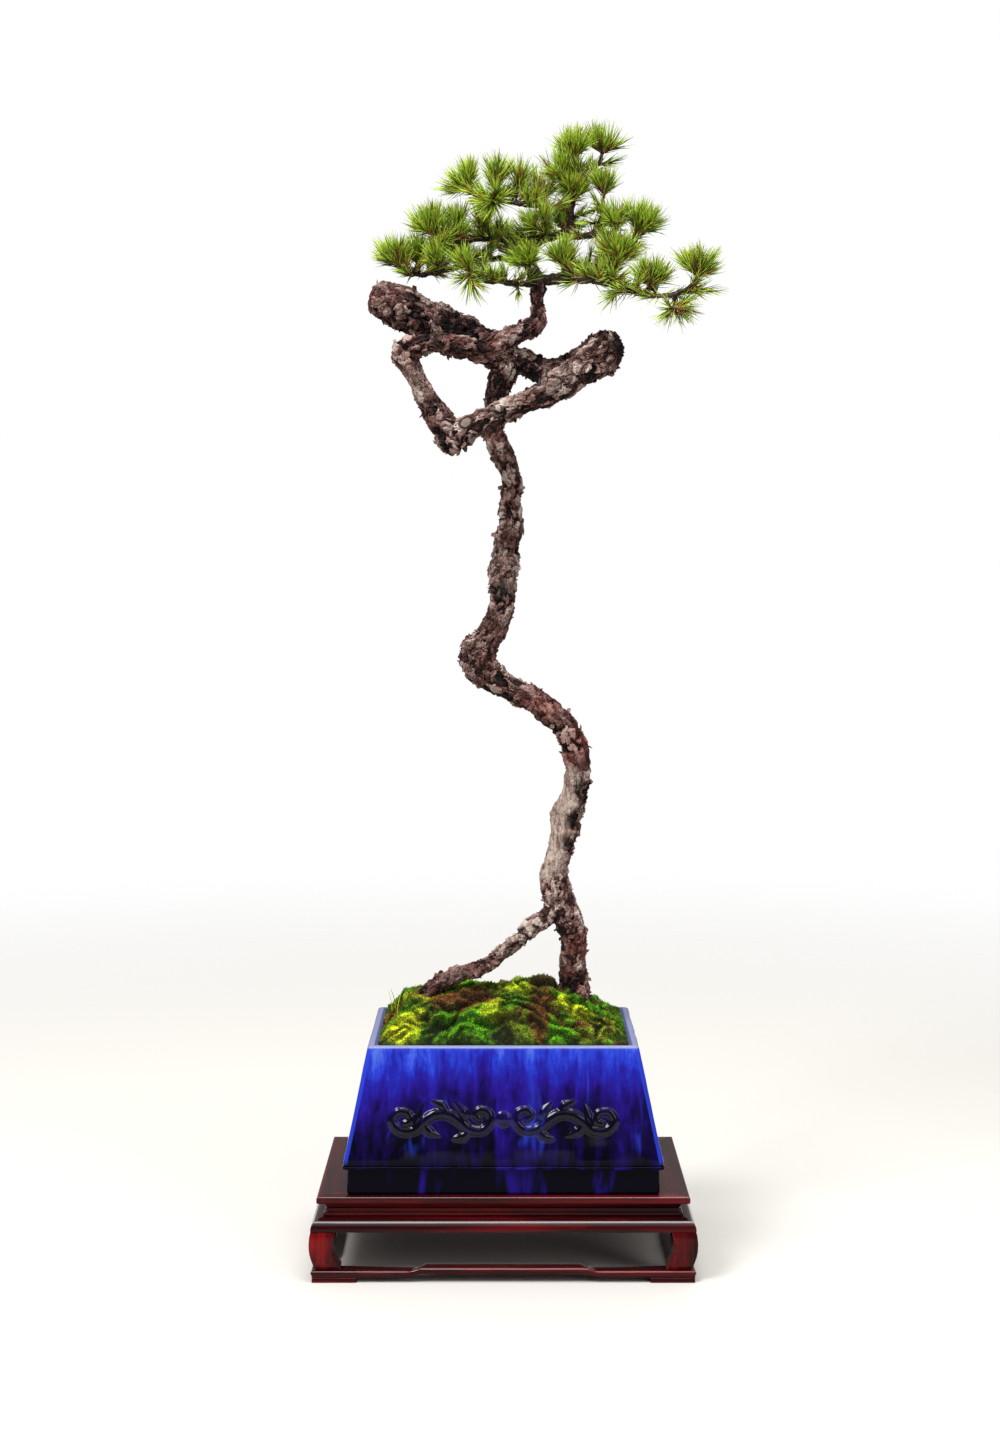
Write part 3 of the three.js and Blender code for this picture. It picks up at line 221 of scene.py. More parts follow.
class Nodes:
    """Builds a node tree, for a shader or for geometry."""

    def __init__(self, tree: bpy.types.NodeTree) -> None:
        """Starts from an empty tree."""
        self.tree = tree
        tree.nodes.clear()

    def node(self, kind: str, settings: Optional[dict] = None, sockets: Optional[dict] = None,
             output: Any = 0) -> Value:
        """Adds a node.

        Args:
            kind: The node's type.
            settings: Its own settings, and "stops" for a ramp.
            sockets: Numbers, colours or values by the identifier of the input.
            output: The output that is returned.

        Returns:
            The chosen output.
        """
        node = self.tree.nodes.new(kind)
        for name, setting in (settings or {}).items():
            if name == "stops":
                self._set_stops(node.color_ramp, setting)
            else:
                setattr(node, name, setting)
        for name, value in (sockets or {}).items():
            socket = socket_at(node.inputs, name)
            if isinstance(value, Value):
                self.tree.links.new(value.socket, socket)
            else:
                socket.default_value = value
        return Value(self, node, output)

    @staticmethod
    def _set_stops(ramp: bpy.types.ColorRamp, stops: Sequence[Stop]) -> None:
        """Gives a ramp its colours."""
        while len(ramp.elements) < len(stops):
            ramp.elements.new(1.0)
        for element, (place, shade) in zip(ramp.elements, stops):
            element.position = place
            element.color = shade

    def maths(self, operation: str, first: Any, second: Any) -> Value:
        """Adds a Math node and returns its result."""
        return self.node("ShaderNodeMath", {"operation": operation}, {"Value": first, "Value_001": second})

    def rise(self, value: Value, low: float, high: float, start: float = 0.0, end: float = 1.0) -> Value:
        """Returns a smooth change from start to end as a value goes from low to high."""
        sockets = {"Value": value, "From Min": low, "From Max": high, "To Min": start, "To Max": end}
        return self.node("ShaderNodeMapRange", {"interpolation_type": "SMOOTHSTEP"}, sockets)


class Paint(Nodes):
    """A material's nodes, with the patterns that the finishes share."""

    def __init__(self, name: str) -> None:
        """Starts an empty material."""
        self.material = bpy.data.materials.new(name)
        self.material.use_nodes = True
        super().__init__(self.material.node_tree)
        self.place = self.node("ShaderNodeTexCoord", output="Object")

    def stretched(self, scale: Sequence[float]) -> Value:
        """Returns the place with each direction scaled on its own."""
        return self.node("ShaderNodeMapping", {}, {"Vector": self.place, "Scale": scale})

    def noise(self, size: float, detail: float = 3.0, place: Optional[Value] = None,
              distortion: float = 0.0, roughness: float = 0.5) -> Value:
        """Returns a cloudy pattern whose spots are about size across, in millimetres."""
        sockets = {"Vector": place or self.place, "Scale": 1 / (size * MM), "Detail": detail,
                   "Distortion": distortion, "Roughness": roughness}
        return self.node("ShaderNodeTexNoise", {}, sockets)

    def cells(self, size: float) -> Value:
        """Returns a cell pattern whose cells are about size across, in millimetres."""
        sockets = {"Vector": self.place, "Scale": 1 / (size * MM)}
        return self.node("ShaderNodeTexVoronoi", {"feature": "F1"}, sockets, "Distance")

    def attribute(self, name: str, output: str = "Fac") -> Value:
        """Returns a value stored on the mesh."""
        return self.node("ShaderNodeAttribute", {"attribute_name": name}, {}, output)

    def rough(self, pattern: Value, low: float, high: float) -> Value:
        """Returns a roughness that goes from low to high with the usual range of a pattern."""
        return self.rise(pattern, 0.3, 0.7, low, high)

    def ramp(self, value: Value, stops: Sequence[Stop]) -> Value:
        """Returns the colour that a ramp gives a value."""
        return self.node("ShaderNodeValToRGB", {"stops": stops}, {"Fac": value})

    def mix(self, share: Any, first: Any, second: Any) -> Value:
        """Returns a mix of two colours."""
        sockets = {"Factor_Float": share, "A_Color": first, "B_Color": second}
        return self.node("ShaderNodeMix", {"data_type": "RGBA"}, sockets, "Result_Color")

    def height(self) -> Value:
        """Returns the height over the floor in metres."""
        return self.node("ShaderNodeSeparateXYZ", {}, {"Vector": self.place}, "Z")

    def bump(self, height: Value, strength: float, distance: float) -> Value:
        """Returns a normal that a height bends, with its distance in millimetres."""
        sockets = {"Height": height, "Strength": strength, "Distance": distance * MM}
        return self.node("ShaderNodeBump", {}, sockets)

    def finish(self, sockets: dict) -> Material:
        """Closes the material with one shader and returns it."""
        shader = self.node("ShaderNodeBsdfPrincipled", {}, sockets)
        self.node("ShaderNodeOutputMaterial", {}, {"Surface": shader})
        return self.material


class Recipe(Nodes):
    """A Geometry Nodes tree with named inputs."""

    KINDS = {float: "NodeSocketFloat", int: "NodeSocketInt", type(None): "NodeSocketMaterial"}

    def __init__(self, name: str, inputs: dict[str, Any]) -> None:
        """Starts a tree.

        Args:
            name: The tree's name.
            inputs: The usual value of each input by its name, and None for a material.
        """
        super().__init__(bpy.data.node_groups.new(name, "GeometryNodeTree"))
        self.identifiers = {}
        face = self.tree.interface
        face.new_socket("Geometry", in_out="INPUT", socket_type="NodeSocketGeometry")
        for label, usual in inputs.items():
            socket = face.new_socket(label, in_out="INPUT", socket_type=self.KINDS[type(usual)])
            if usual is not None:
                socket.default_value = usual
            self.identifiers[label] = socket.identifier
        face.new_socket("Geometry", in_out="OUTPUT", socket_type="NodeSocketGeometry")
        self.entry = self.node("NodeGroupInput")

    def given(self, label: str) -> Value:
        """Returns a named input."""
        return self.entry.other(self.identifiers[label])

    def stored(self, name: str, kind: str = "FLOAT") -> Value:
        """Returns a value stored on the mesh."""
        return self.node("GeometryNodeInputNamedAttribute", {"data_type": kind}, {"Name": name})

    def kept(self, geometry: Value, name: str, value: Value, domain: str) -> Value:
        """Returns a geometry on which a number is stored."""
        settings = {"data_type": "FLOAT", "domain": domain}
        sockets = {"Geometry": geometry, "Name": name, "Value": value}
        return self.node("GeometryNodeStoreNamedAttribute", settings, sockets)

    def random(self, low: Sequence[float], high: Sequence[float]) -> Value:
        """Returns a random vector between two others."""
        sockets = {"Min": low, "Max": high, "Seed": self.given("Seed")}
        return self.node("FunctionNodeRandomValue", {"data_type": "FLOAT_VECTOR"}, sockets)

    def turned(self, rotation: Value, turn: Value) -> Value:
        """Returns a rotation that is turned further about its own directions."""
        sockets = {"Rotation": rotation, "Rotate By": turn}
        return self.node("FunctionNodeRotateRotation", {"rotation_space": "LOCAL"}, sockets)

    def without(self, selection: Value, domain: str) -> Value:
        """Returns the mesh that came in without a selection of its points or faces."""
        sockets = {"Geometry": self.entry, "Selection": selection}
        return self.node("GeometryNodeDeleteGeometry", {"domain": domain}, sockets)

    def real(self, sockets: dict) -> Value:
        """Returns instances on points as a real mesh."""
        placed = self.node("GeometryNodeInstanceOnPoints", {}, sockets)
        return self.node("GeometryNodeRealizeInstances", {}, {"Geometry": placed})

    def painted(self, geometry: Value, label: str) -> Value:
        """Returns a geometry with the material of a named input."""
        sockets = {"Geometry": geometry, "Material": self.given(label)}
        return self.node("GeometryNodeSetMaterial", {}, sockets)

    def scatter(self, density: Value, cone: dict, swing: Sequence, sizes: Sequence, unit: Any) -> None:
        """Ends the tree with small cones that stand all over the mesh.

        Args:
            density: How many stand on a square metre.
            cone: The inputs of the node that makes a cone.
            swing: How far a cone is turned about each direction, either way.
            sizes: The smallest and the largest scale.
            unit: What each scale is multiplied by.
        """
        sockets = {"Mesh": self.entry, "Density": density, "Seed": self.given("Seed")}
        settings = {"distribute_method": "RANDOM"}
        points = self.node("GeometryNodeDistributePointsOnFaces", settings, sockets, "Points")
        shape = self.node("GeometryNodeMeshCone", {"fill_type": "NGON"}, cone)
        turn = self.random([-part for part in swing], swing)
        rotation = self.turned(points.other("Rotation"), turn)
        sockets = {"Vector": self.random(*sizes), "Scale": unit}
        scale = self.node("ShaderNodeVectorMath", {"operation": "SCALE"}, sockets)
        sockets = {"Points": points, "Instance": shape, "Rotation": rotation, "Scale": scale}
        self.close(self.painted(self.real(sockets), "Finish"))

    def close(self, geometry: Value) -> None:
        """Ends the tree with its result."""
        node = self.tree.nodes.new("NodeGroupOutput")
        self.tree.links.new(geometry.socket, node.inputs[0])

    def run(self, mesh: Mesh, values: dict[str, Any]) -> Mesh:
        """Runs the tree on a mesh.

        Args:
            mesh: The mesh that goes in.
            values: The inputs that differ from the usual ones, by name.

        Returns:
            A plain mesh with the result.
        """
        work = loose_object("recipe_work", mesh)
        modifier = work.modifiers.new("recipe", "NODES")
        modifier.node_group = self.tree
        for label, value in values.items():
            modifier[self.identifiers[label]] = value
        return applied_mesh(work)


# Meshes


def applied_mesh(work: bpy.types.Object) -> Mesh:
    """Returns a plain mesh of an object with its modifiers applied, and removes the object."""
    bpy.context.view_layer.update()
    graph = bpy.context.evaluated_depsgraph_get()
    result = work.evaluated_get(graph)
    mesh = bpy.data.meshes.new_from_object(result, preserve_all_data_layers=True, depsgraph=graph)
    bpy.data.objects.remove(work)
    return mesh


@dataclass
class Draft:
    """Points in millimetres and the faces between them."""

    points: Array
    faces: list[list[int]]

    def mesh(self, name: str) -> Mesh:
        """Returns a smooth mesh in metres."""
        mesh = bpy.data.meshes.new(name)
        mesh.from_pydata((self.points * MM).tolist(), [], self.faces)
        mesh.shade_smooth()
        return mesh


def joined(drafts: Iterable[Draft]) -> Draft:
    """Returns several drafts as one."""
    points, faces, start = [], [], 0
    for draft in drafts:
        points.append(draft.points)
        faces.extend([[index + start for index in face] for face in draft.faces])
        start += len(draft.points)
    return Draft(np.concatenate(points), faces)


def loft(rings: Array) -> Draft:
    """Returns a closed skin through rings that turn counter-clockwise about the way they advance."""
    count = rings.shape[1]
    rows = np.arange(rings.shape[0] - 1)[:, None] * count
    sides = np.arange(count)
    following = (sides + 1) % count
    corners = (rows + sides, rows + following, rows + following + count, rows + sides + count)
    faces = np.stack([corner.ravel() for corner in corners], axis=1).tolist()
    last = (rings.shape[0] - 1) * count
    faces.append(sides[::-1].tolist())
    faces.append((last + sides).tolist())
    return Draft(rings.reshape(-1, 3), faces)


def store(mesh: Mesh, name: str, values: Array) -> None:
    """Keeps one number, or one vector, for each point of a mesh."""
    kind, part = ("FLOAT", "value") if values.ndim == 1 else ("FLOAT_VECTOR", "vector")
    attribute = mesh.attributes.new(name, kind, "POINT")
    attribute.data.foreach_set(part, values.astype(np.float32).ravel())


def point_array(mesh: Mesh) -> Array:
    """Returns a mesh's points in millimetres."""
    flat = np.empty(3 * len(mesh.vertices))
    mesh.vertices.foreach_get("co", flat)
    return flat.reshape(-1, 3) / MM


def normal_array(mesh: Mesh) -> Array:
    """Returns the outward direction at each point of a mesh."""
    flat = np.empty(3 * len(mesh.vertices), dtype=np.float32)
    mesh.vertex_normals.foreach_get("vector", flat)
    return flat.reshape(-1, 3).astype(float)


def move_points(mesh: Mesh, points: Array) -> None:
    """Puts a mesh's points at new places in millimetres."""
    mesh.vertices.foreach_set("co", (points * MM).ravel())
    mesh.update()


def loose_object(name: str, mesh: Mesh) -> bpy.types.Object:
    """Returns an object for work in progress."""
    piece = bpy.data.objects.new(name, mesh)
    bpy.context.scene.collection.objects.link(piece)
    return piece


def add_piece(name: str, mesh: Mesh, finishes: Sequence[Material],
              replaced: Sequence[str] = ()) -> None:
    """Adds a finished piece to the scene.

    Args:
        name: The piece's name.
        mesh: Its mesh.
        finishes: The materials that it gets, unless it has them.
        replaced: The nodes that it stands for.
    """
    piece = loose_object(name, mesh)
    if finishes:
        mesh.materials.clear()
    for finish in finishes:
        mesh.materials.append(finish)
    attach(piece, BODY)
    if replaced:
        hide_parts(*replaced)
    triangles = sum(len(face.vertices) - 2 for face in mesh.polygons)
    LOG.info("%s: %d triangles", name, triangles)


# Finishes


class Grain(Enum):
    """The direction in which a piece of wood was cut."""

    ACROSS = (0.06, 1.0, 1.0)
    DEEP = (1.0, 0.06, 1.0)
    UPRIGHT = (1.0, 1.0, 0.06)


@dataclass(frozen=True)
class RosewoodFinish:
    """Dark red polished hardwood."""

    grain: Grain
    dark: Colour = colour(14, 2, 3)
    middle: Colour = colour(50, 6, 9)
    light: Colour = colour(102, 12, 16)

    def material(self) -> Material:
        """Returns the material."""
        paint = Paint(f"rosewood_{self.grain.name.lower()}")
        along = paint.stretched(self.grain.value)
        clouds = paint.noise(26, 4, along, 1.2)
        fibres = paint.noise(2.4, 5, along, 0.4, 0.65)
        tone = clouds * 0.72 + fibres * 0.28
        base = paint.ramp(tone, [(0.34, self.dark), (0.5, self.middle), (0.68, self.light)])
        pores = paint.rise(paint.noise(0.9, 2, along), 0.36, 0.46)
        facing = paint.place.other("Normal")
        upward = paint.node("ShaderNodeSeparateXYZ", {}, {"Vector": facing}, "Z")
        sockets = {
            "Base Color": paint.mix(pores * 0.3 + 0.7, self.dark, base),
            "Roughness": paint.rough(clouds, 0.2, 0.32),
            "Normal": paint.bump(fibres, 0.12, 0.25),
            "Specular IOR Level": 0.08,
            "Coat Weight": paint.rise(upward, 0.15, 0.75, 0.1, 0.9),
            "Coat Roughness": 0.08,
            "Coat IOR": 1.5,
        }
        return paint.finish(sockets)


@dataclass(frozen=True)
class GlazeFinish:
    """A glossy blue glaze that ran down from the rim over a darker one."""

    light: Colour = colour(80, 110, 208)
    bright: Colour = colour(40, 60, 190)
    streak: Colour = colour(31, 34, 154)
    violet: Colour = colour(34, 18, 122)
    night: Colour = colour(18, 8, 66)
    black: Colour = colour(5, 4, 16)
    pale: Colour = colour(132, 138, 162)

    def material(self) -> Material:
        """Returns the material."""
        paint = Paint("pot_glaze")
        running = paint.stretched((1, 1, 0.2))
        hairs = paint.noise(2.4, 3, paint.stretched((1, 1, 0.09)), 0.3)
        rivulets = paint.noise(8, 4, running, 0.8, 0.6)
        broad = paint.noise(26, 3, running, 1.0)
        mottle = paint.noise(11, 4, None, 0.6, 0.6)
        height = paint.height()
        band = paint.rise(height, 0.16, 0.212, 0.0, 0.36)
        flow = paint.rise(height, 0.108, 0.2, 0.07, 0.4) + band
        for pattern, share in ((hairs, 0.16), (rivulets, 0.55), (broad, 0.75), (mottle, 0.35)):
            flow = flow + (pattern - 0.5) * share
        stops = [(0.0, self.black), (0.2, self.night), (0.42, self.violet), (0.6, self.streak),
                 (0.76, self.bright), (1.0, self.light)]
        plinth = paint.mix(paint.rise(broad, 0.52, 0.7, 0.0, 0.8), self.black, self.violet)
        body = paint.mix(paint.rise(height, 0.1, 0.106), plinth, paint.ramp(flow, stops))
        drips = paint.rise(paint.noise(17, 2, running, 0.5), 0.6, 0.76) * paint.rise(height, 0.108, 0.13)
        body = paint.mix(drips * 0.75, body, self.bright)
        raised = paint.attribute("relief") * paint.rise(mottle, 0.7, 0.4, 0.6, 0.95)
        body = paint.mix(raised, body, self.black)
        marks = (("edge", 0.8, self.bright), ("inside", 0.92, self.night), ("lip", 1.0, self.pale))
        for name, share, shade in marks:
            body = paint.mix(paint.attribute(name) * share, body, shade)
        waves = paint.noise(16, 3) + paint.noise(3.4, 2) * 0.15
        sockets = {
            "Base Color": body,
            "Roughness": paint.rough(rivulets, 0.05, 0.12),
            "Normal": paint.bump(waves, 0.3, 1.2),
            "Specular IOR Level": 0.04,
            "Coat Weight": paint.rise(height, 0.1, 0.13, 0.0, 0.36),
            "Coat Roughness": 0.03,
        }
        return paint.finish(sockets)


@dataclass(frozen=True)
class ScreenFinish:
    """Matt black plastic mesh."""

    base: Colour = colour(28, 28, 28)
    dusty: Colour = colour(64, 56, 48)

    def material(self) -> Material:
        """Returns the material."""
        paint = Paint("drain_mesh")
        dust = paint.noise(5, 4)
        sockets = {
            "Base Color": paint.mix(paint.rise(dust, 0.45, 0.7), self.base, self.dusty),
            "Roughness": paint.rough(dust, 0.5, 0.7),
            "Normal": paint.bump(paint.noise(1.2), 0.2, 0.2),
        }
        return paint.finish(sockets)


@dataclass(frozen=True)
class SoilFinish:
    """Dark crumbly potting soil."""

    dark: Colour = colour(30, 20, 13)
    light: Colour = colour(92, 68, 46)

    def material(self) -> Material:
        """Returns the material."""
        paint = Paint("potting_soil")
        crumbs = paint.cells(3.2)
        tone = paint.noise(6, 4) * 0.7 + crumbs * 0.5
        sockets = {
            "Base Color": paint.ramp(tone, [(0.3, self.dark), (0.8, self.light)]),
            "Roughness": 0.95,
            "Normal": paint.bump(crumbs, 0.8, 1.2),
        }
        return paint.finish(sockets)


@dataclass(frozen=True)
class MossFinish:
    """Living moss, whose tint, with painted light and shade, is stored on its mesh."""

    shade: Colour = colour(12, 14, 4)

    def material(self) -> Material:
        """Returns the material."""
        paint = Paint("moss")
        tint = paint.attribute("tint", "Color")
        fine = paint.noise(1.5, 3)
        lit = paint.mix(paint.rise(fine, 0.34, 0.66), paint.mix(0.6, tint, self.shade), tint)
        # Painted shade: the stored hollow shade darkens the folds towards the shade colour.
        deep = paint.attribute("hollow_shade")
        sockets = {
            "Base Color": paint.mix(deep * 0.95, lit, self.shade),
            "Roughness": paint.rough(fine, 0.75, 0.95),
            "Normal": paint.bump(fine, 0.5, 0.6),
            "Specular IOR Level": 0.15,
            "Sheen Weight": 0.05,
            "Sheen Roughness": 0.5,
            "Sheen Tint": colour(200, 220, 120),
        }
        return paint.finish(sockets)


@dataclass(frozen=True)
class BarkFinish:
    """Flaky pine bark, whose relief is stored on its mesh."""

    black: Colour = colour(17, 10, 10)
    umber: Colour = colour(54, 30, 27)
    brown: Colour = colour(98, 67, 60)
    grey: Colour = colour(148, 130, 123)
    pale: Colour = colour(206, 194, 185)
    rust: Colour = colour(92, 38, 32)
    salmon: Colour = colour(142, 78, 66)
    bare: Colour = colour(206, 192, 178)
    cut: Colour = colour(122, 108, 98)

    def material(self) -> Material:
        """Returns the material."""
        paint = Paint("pine_bark")
        fine = paint.noise(1.3, 4, roughness=0.7)
        clouds = paint.noise(9, 4)
        height = paint.attribute("raised")
        # The tone follows the stored relief: the gaps darken towards black, partly the bark's own dark
        # fissures and partly painted shade.
        tone = height * 0.78 + fine * 1.1 + paint.attribute("plate") * 0.22 + clouds * 0.6 - 0.97
        # The dark mark darkens the tone, with painted shade on downward faces as well as in the darker
        # zones.
        tone = tone + paint.attribute("pale") * 0.12 - paint.attribute("dark") * 0.32
        stops = [(0.06, self.black), (0.22, self.umber), (0.44, self.brown), (0.7, self.grey),
                 (1.0, self.pale)]
        body = paint.ramp(tone, stops)
        reddish = paint.rise(paint.noise(24, 2), 0.46, 0.66) * 0.4 + paint.attribute("red") * 0.8
        warm = paint.ramp(tone, [(0.1, self.black), (0.45, self.rust), (0.9, self.salmon)])
        body = paint.mix(paint.maths("MINIMUM", reddish, 0.9), body, warm)
        streaks = paint.noise(3.4, 5, paint.stretched((1, 1, 0.16)), 0.4, 0.65)
        bare = paint.mix(paint.rise(streaks, 0.36, 0.6), self.brown, self.bare)
        body = paint.mix(paint.attribute("pale") * paint.rise(height, 0.1, 0.5, 0.15, 0.72), body, bare)
        scar = paint.attribute("scar")
        ring = paint.rise(scar, 0.02, 0.12) * paint.rise(scar, 0.42, 0.3)
        body = paint.mix(paint.rise(scar, 0.3, 0.42, 0.0, 0.75), body, self.cut)
        sockets = {
            "Base Color": paint.mix(ring * 0.85, body, self.black),
            "Roughness": paint.rough(fine, 0.7, 0.9),
            "Normal": paint.bump(fine + paint.noise(0.5) * 0.3, 0.8, 0.7),
            "Specular IOR Level": 0.22,
        }
        return paint.finish(sockets)


@dataclass(frozen=True)
class NeedleFinish:
    """Fresh pine needles, from a brown base to a bright tip."""

    base: Colour = colour(184, 96, 44)
    low: Colour = colour(94, 118, 22)
    middle: Colour = colour(164, 206, 38)
    tip: Colour = colour(222, 242, 104)
    deep: Colour = colour(36, 64, 14)
    fresh: Colour = colour(226, 240, 78)

    def material(self) -> Material:
        """Returns the material."""
        paint = Paint("pine_needles")
        along = paint.attribute("along")
        tone = paint.attribute("tone")
        stops = [(0.08, self.base), (0.32, self.low), (0.6, self.middle), (1.0, self.tip)]
        body = paint.ramp(along, stops)
        body = paint.mix(paint.rise(tone, 0.3, 0.85, 0.0, 0.84), body, self.deep)
        body = paint.mix(paint.attribute("fresh") * paint.rise(tone, 0.7, 0.1) * 0.6, body, self.fresh)
        body = paint.mix(paint.rise(tone, 0.935, 0.945) * 0.75, body, self.base)
        sockets = {
            "Base Color": body,
            "Roughness": paint.rise(tone, 0, 1, 0.38, 0.55),
            "Specular IOR Level": 0.45,
        }
        return paint.finish(sockets)


@dataclass(frozen=True)
class TwigFinish:
    """The scaly young wood that carries the needles."""

    dark: Colour = colour(20, 12, 11)
    middle: Colour = colour(50, 31, 28)
    light: Colour = colour(122, 94, 86)

    def material(self) -> Material:
        """Returns the material."""
        paint = Paint("pine_twig")
        scales = paint.cells(1.6)
        tone = scales * 0.6 + paint.noise(2.6, 4) * 0.7
        sockets = {
            "Base Color": paint.ramp(tone, [(0.5, self.dark), (0.72, self.middle), (1.0, self.light)]),
            "Roughness": 0.8,
            "Normal": paint.bump(scales, 0.8, 0.6),
        }
        return paint.finish(sockets)


# Limbs swept along a curve


LimbPoint = tuple[float, float, float, float]


@dataclass
class Stations:
    """Places along a limb: centre, radius, direction and a side direction that doesn't twist."""

    centre: Array
    radius: Array
    direction: Array
    side: Array


def spline(points: Array, steps: Sequence[int]) -> Array:
    """Places on an even Catmull-Rom curve.

    Args:
        points: The points that the curve passes, with any further columns changed evenly.
        steps: How many parts each span is cut into.

    Returns:
        The places, one a row.
    """
    padded = np.vstack([2 * points[0] - points[1], points, 2 * points[-1] - points[-2]])
    rows = [points[0]]
    for span, parts in enumerate(steps):
        before, start, end, after = padded[span : span + 4]
        for part in range(1, parts + 1):
            t = part / parts
            place = 0.5 * (2 * start + (end - before) * t + (2 * before - 5 * start + 4 * end - after) * t**2
                           + (3 * start - before - 3 * end + after) * t**3)
            place[3:] = lerp(start[3:], end[3:], t)
            rows.append(place)
    return np.array(rows)


def stations_along(points: Sequence[LimbPoint], step: float) -> Stations:
    """Returns the stations of a limb about one step apart."""
    given = np.array(points, dtype=float)
    lengths = np.linalg.norm(np.diff(given[:, :3], axis=0), axis=1)
    rows = spline(given, [max(1, round(length / step)) for length in lengths])
    centre = rows[:, :3]
    ahead = np.vstack([centre[1:], centre[-1:]]) - np.vstack([centre[:1], centre[:-1]])
    direction = ahead / np.linalg.norm(ahead, axis=1)[:, None]
    side = np.zeros_like(direction)
    reference = np.array([0, 1, 0]) if abs(direction[0][0]) > 0.7 else np.array([1, 0, 0])
    for i, heading in enumerate(direction):
        kept = reference - heading * reference.dot(heading)
        reference = kept / np.linalg.norm(kept)
        side[i] = reference
    return Stations(centre, rows[:, 3], direction, side)


def swept(stations: Stations, sides: int, end_rounding: Sequence[tuple[float, float]] = ()) -> Draft:
    """A closed tube.

    Args:
        stations: The places that it passes.
        sides: How many points go round it.
        end_rounding: How far past the end its rounding reaches and how wide it is there, in radii.

    Returns:
        The tube.
    """
    centre, radius, direction, side = stations.centre, stations.radius, stations.direction, stations.side
    last, last_radius = centre[-1], radius[-1]
    for along, share in end_rounding:
        centre = np.vstack([centre, last + direction[-1] * along * last_radius])
        radius = np.append(radius, share * last_radius)
        direction = np.vstack([direction, direction[-1]])
        side = np.vstack([side, side[-1]])
    across = np.cross(direction, side)
    turns = (2 * np.pi * np.arange(sides) / sides)[None, :, None]
    outward = side[:, None] * np.cos(turns) + across[:, None] * np.sin(turns)
    return loft(centre[:, None] + outward * radius[:, None, None])


# The tree


TRUNK_LOWER = [
    (65, 2, 200, 16.5), (65, 0, 230, 16.5), (65, -1, 248, 13.6), (65, -2, 268, 12), (65, -3, 291, 11.9),
    (60, -2, 311, 13.3), (52, 0, 330, 14), (48, 3, 352, 13), (53, 5, 376, 11.3), (58, 6, 402, 12.6),
    (62, 4, 418, 13.2), (67, 2, 434, 12), (69, 0, 453, 12), (66, -2, 471, 12.6), (58, -4, 487, 12.2),
    (45, -5, 502, 11.8), (29, -4, 514, 11), (12, -2, 522, 11), (-6, 0, 533, 13), (-18, 1, 543, 14),
    (-26, 2, 554, 13.6),
]
TRUNK_UPPER = [
    (-14, 0, 541, 13), (-24, 2, 556, 13.8), (-18, 4, 568, 12.8), (-9, 5, 582, 12), (-2, 6, 598, 11.4),
    (0, 6, 614, 11.5), (1, 5, 632, 11.5), (3, 4, 654, 11.5), (7, 2, 674, 10.8), (6, 0, 694, 9.9),
    (8, -2, 712, 10.1), (3, -2, 730, 10.3), (-4, 0, 747, 10.6), (-8, 3, 763, 10.3), (-7, 6, 783, 10.6),
    (-3, 8, 802, 11.8), (1, 8, 817, 13.9), (-2, 7, 833, 16.6),
]
TRUNK_FOOT = [(65, 0, 230, 17.2), (65, 2, 200, 17.4), (67, 4, 156, 17.4)]
LEANING_ROOT = [
    (53, 0, 321, 11), (42, -3, 313, 8.6), (27, -6, 304, 7.4), (12, -9, 291, 7), (-2, -12, 280, 7.2),
    (-14, -14, 271, 7.8), (-31, -16, 264, 7.1), (-49, -17, 258, 6.6), (-63, -18, 251, 6.4),
    (-75, -20, 241, 6.2), (-83, -22, 226, 5.8), (-87, -24, 206, 5),
]
BURIED_ROOTS = [
    [(64, 2, 170, 9), (80, 14, 146, 7), (94, 30, 124, 4)],
    [(64, 2, 170, 9), (74, -16, 142, 7), (88, -34, 118, 4)],
    [(66, 2, 172, 9), (44, 16, 148, 7), (16, 30, 126, 4)],
    [(66, 2, 172, 9), (40, -12, 144, 7), (8, -26, 120, 4)],
    [(-86, -23, 211, 5), (-80, -12, 186, 4), (-64, 6, 158, 3)],
]
THICK_STUB = [
    (2, 6, 829, 16), (-24, 3, 840, 17.2), (-47, 0, 850, 18), (-69, -3, 860, 18.4), (-90, -6, 869, 19),
    (-107, -8, 876, 17.6),
]
REAR_LIMB = [
    (-3, 8, 827, 13.5), (13, 12, 824, 12.5), (34, 18, 816, 12.1), (56, 21, 818, 12.6), (76, 14, 827, 14),
    (89, 0, 835, 15.6),
]
FRONT_LIMB = [
    (89, 2, 836, 15.4), (92, -14, 831, 16.6), (82, -29, 821, 15), (66, -38, 810, 14), (49, -44, 798, 12.8),
    (31, -47, 788, 11.7), (10, -48, 779, 11), (-10, -48, 770, 10.8), (-29, -46, 761, 11.7),
    (-44, -43, 752, 13.2),
]
LEFT_LIMB = [
    (-44, -43, 752, 13), (-54, -42, 763, 11.8), (-64, -40, 778, 11.1), (-72, -39, 793, 10.1),
    (-80, -38, 809, 9.6), (-86, -37, 821, 10.2), (-89, -36, 829, 9.9),
]
CROSSING_LIMB = [
    (-88, -36, 828, 9.9), (-79, -37, 833, 9.2), (-62, -40, 836, 8.5), (-42, -43, 834, 9),
    (-22, -45, 831, 9.6), (-3, -43, 837, 9.2), (13, -36, 845, 9.1), (27, -28, 851, 9.6),
]
RISING_LIMB = [
    (26, -30, 849, 9.2), (31, -26, 857, 8.9), (31, -18, 869, 7.6), (31, -10, 883, 7.5), (32, -5, 894, 7.7),
]
